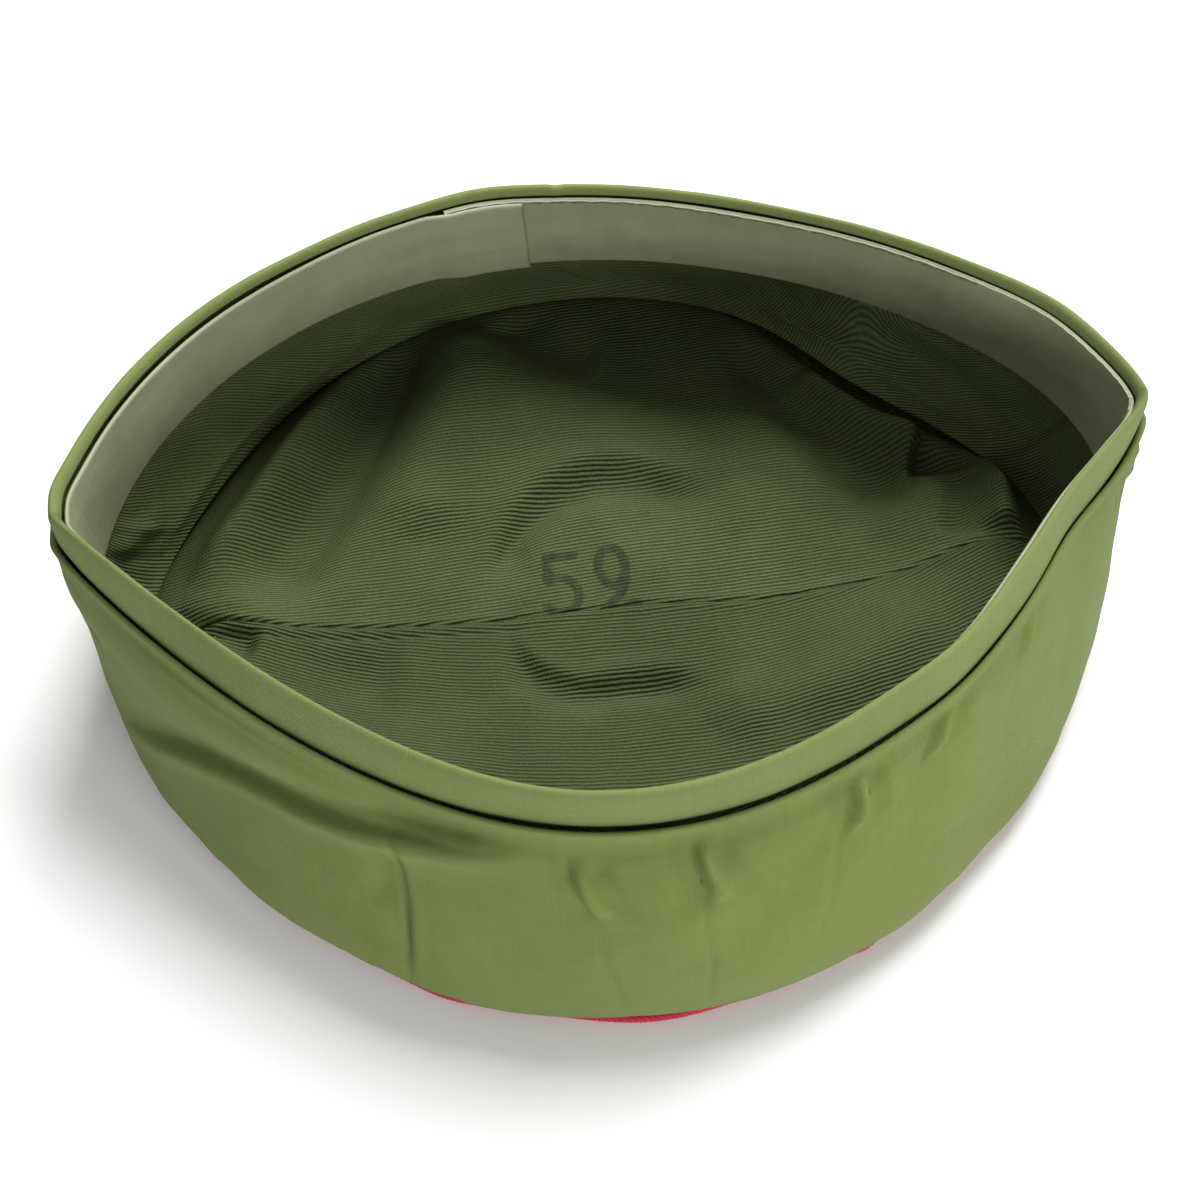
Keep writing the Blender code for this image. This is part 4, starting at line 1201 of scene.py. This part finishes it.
def sweat_strip():
    start, lap = 0.2492, 0.0258
    n = 900
    turns = start + np.linspace(0.0, 1.0 + lap, n + 1)
    lead = np.clip((lap + 0.009 - (turns - start)) / 0.012, 0, 1)
    lead = lead * lead * (3 - 2 * lead)
    front = np.clip(-np.sin(2 * np.pi * turns) / 0.35, 0, 1)
    left = np.clip((turns - 0.30) / 0.05, 0, 1) * np.clip((0.58 - turns) / 0.05, 0, 1)
    top = HEIGHT - 0.33 * BAND
    ups = np.linspace(0, 1, 33)
    rows = []
    for up in ups:
        values = glide(heights(SWEAT_FACE), SWEAT_FACE, np.full(n + 1, up))
        inset = lead * (SWEAT_CLOTH + 0.15)
        x, y = oval(turns % 1.0, values[1:], inset, rim_reach(turns, up, (0.0, 0.77, 1.0), (4, 3, 2)))
        z = lift(turns, top - SWEAT + up * SWEAT) - 0.35 * lead - (1.3 * front + 0.9 * left) * up**3
        z = z + SWEAT * (1 - up) ** 2 * bumps(turns, SWEAT_LIFTS, 2)
        rows.append(np.stack([x, y, z], axis=-1))
    p = np.array(rows)
    inner = unit(-np.cross(np.gradient(p, axis=1), np.gradient(p, axis=0)))
    calm = np.clip(np.minimum(np.arange(n + 1), n - np.arange(n + 1)) / 24.0, 0, 1)[None, :]
    hold = np.sin(np.pi * np.clip(ups, 0, 1))[:, None]
    ripple = 0.16 * waves(p, 61, 24.0, 60.0) + 0.05 * waves(p, 62, 6.0, 14.0, 16)
    hollow = bumps(turns, ((0.118, 0.012, 1.0),), 2)[None, :] * np.exp(-((ups - 0.42) / 0.2) ** 2)[:, None]
    p = p + inner * ((ripple - 0.5 * hollow) * calm * (0.25 + 0.75 * hold))[..., None]
    outer = p - inner * SWEAT_CLOTH
    body = Cloth()
    k = 10
    cloth = laid(np.linspace(0, 1, n + 1) * SWEAT_ROUND, ups * SWEAT)
    # Inner face with rolled upper and lower edges
    down = np.stack([0 * turns, 0 * turns, 0 * turns - 1], axis=-1)
    foot = rolled(p[0], inner[0], down, SWEAT_CLOTH, (130.0, 90.0, 50.0))
    head = rolled(p[-1], inner[-1], -down, SWEAT_CLOTH, (50.0, 90.0, 130.0))
    index = body.add(np.concatenate([foot, p, head]))
    wide_cloth = widened(cloth, np.array([0.4, 0.8, 1.1]))
    body.strips(index, wide_cloth, 0.0, FINE_SHARE, 6)
    hidden_index = body.add(outer[::4, ::k][::-1])
    hidden_cloth = cloth[::4, ::k][::-1]
    body.strips(hidden_index, hidden_cloth, FINE_SHARE + 0.02, 1.0, 1)
    body.close(index, wide_cloth, hidden_index, hidden_cloth, k)
    # Cut ends
    for end in (0, -1):
        ring = np.concatenate([index[:, end], hidden_index[:, end]])
        centre = body.add(np.concatenate(body.points)[ring].mean(axis=0)[None])
        a, b = ring, np.roll(ring, -1)
        tri = np.stack([a, b, np.repeat(centre, len(ring))], axis=1)
        if end == -1:
            tri = tri[:, ::-1]
        small = np.zeros((len(ring), 3, 2)) + [[0.0, 0.866], [0.01, 0.866], [0.0, 0.871]]
        body.faces.append((tri[:, ::-1], small, small))
    piece = body.make("sweat_strip", COATED)
    dress(piece, "sweatband")
    return p, inner, turns


def cord_ring():
    columns = 1400
    turns = np.arange(columns) / columns
    radius = WELT / 2
    out = bumps(turns, CORD_PEEKS, 2) + radius + GAP
    x, y = oval(turns, SIDE[0][1:], -out)
    path = np.stack([x, y, 0 * turns + radius + 0.1], axis=-1)
    piece = tube("crown_cord", RED, path, radius * 0.93, sides=18, strand=0.07, twist=1.9, loop=True)
    return dress(piece, "piping")


def rim_threads(p, inner, turns):
    """Cream edging on the sweatband's upper edge and short stitches under it."""
    n = len(turns)
    keep = np.arange(np.searchsorted(turns, 0.975), n)
    wobble = 0.08 * np.sin(turns * 900) + 0.05 * np.sin(turns * 377 + 1)
    up = np.array([0.0, 0.0, 1.0])
    line = p[-1] + inner[-1] * 0.02
    line = line + up * (0.30 + wobble)[:, None]
    edging = tube("edge_thread", CREAM, line[keep], 0.21, sides=8, strand=0.12, twist=5.0)
    dress(edging, None)
    body = Cloth()
    face = inner[-3]
    spots = np.linspace(np.searchsorted(turns, 1.10), n - 5, 74).astype(int)
    for k, i in enumerate(spots):
        base = p[-1, i] * 0.92 + p[-3, i] * 0.08
        ahead = p[-1, min(i + 2, n - 1)] - p[-1, max(i - 2, 0)]
        ahead = ahead / np.linalg.norm(ahead)
        slip = 0.15 * np.sin(k * 2.3)
        a = base + face[i] * 0.10 - ahead * 0.75 + up * slip
        b = base + face[i] * 0.34 + up * slip
        c = base + face[i] * 0.10 + ahead * 0.75 + up * slip
        t = np.linspace(0, 1, 6)[:, None]
        path = a * (1 - t) ** 2 + 2 * b * t * (1 - t) + c * t**2
        tube("", GREEN, path, 0.17, sides=6, body=body, done=False)
    stitches = body.make("rim_stitches", GREEN)
    dress(stitches, None)


outer_side()
outer_crown()
cord_ring()
rim_band()
strip, strip_inner, strip_turns = sweat_strip()
rim_threads(strip, strip_inner, strip_turns)
side_lining()
# The crown halves take the darker lining copies; the front half is painted darker still, as painted shade.
crown_half("crown_twill_back", "crown_lining_back", True, PRINTED)
crown_half("crown_twill_front", "crown_lining_front", False, LINED_FRONT_PAINTED_SHADE)

# Floor, light and camera, in metres
bpy.ops.mesh.primitive_plane_add(size=6.0, location=(0, 0, -0.0002))
floor = bpy.context.object
floor.name = "floor"
paper = bpy.data.materials.new("floor_paper")
paper.use_nodes = True
paper.node_tree.nodes["Principled BSDF"].inputs["Base Color"].default_value = (0.90, 0.90, 0.895, 1.0)
paper.node_tree.nodes["Principled BSDF"].inputs["Roughness"].default_value = 0.9
floor.data.materials.append(paper)

world = bpy.data.worlds.new("studio")
world.use_nodes = True
world.node_tree.nodes["Background"].inputs["Color"].default_value = (1.0, 1.0, 1.0, 1.0)
world.node_tree.nodes["Background"].inputs["Strength"].default_value = 0.38
bpy.context.scene.world = world


def area(name, place, aim, size, power):
    light = bpy.data.lights.new(name, "AREA")
    light.shape = "RECTANGLE"
    light.size, light.size_y = size
    light.energy = power
    lamp = bpy.data.objects.new(name, light)
    lamp.location = place
    lamp.rotation_mode = "QUATERNION"
    lamp.rotation_quaternion = (Vector(aim) - Vector(place)).to_track_quat("-Z", "Y")
    bpy.context.scene.collection.objects.link(lamp)


area("key", (0.24, 0.46, 0.88), (0.0, 0.0, 0.03), (0.55, 0.5), 16.0)
area("low", (0.42, -1.14, 0.38), (0.0, 0.0, 0.04), (0.9, 0.35), 10.2)

camera = bpy.data.objects.new("camera", bpy.data.cameras.new("camera"))
camera.data.lens = 63.78
camera.data.sensor_width = 36.0
camera.data.clip_start = 0.01
camera.location = (-0.03909, -0.26476, 0.43766)
camera.rotation_mode = "QUATERNION"
camera.rotation_quaternion = Vector((0.0738, 0.5248, -0.848)).to_track_quat("-Z", "Y")
bpy.context.scene.collection.objects.link(camera)
bpy.context.scene.camera = camera
bpy.context.scene.view_settings.view_transform = "Standard"
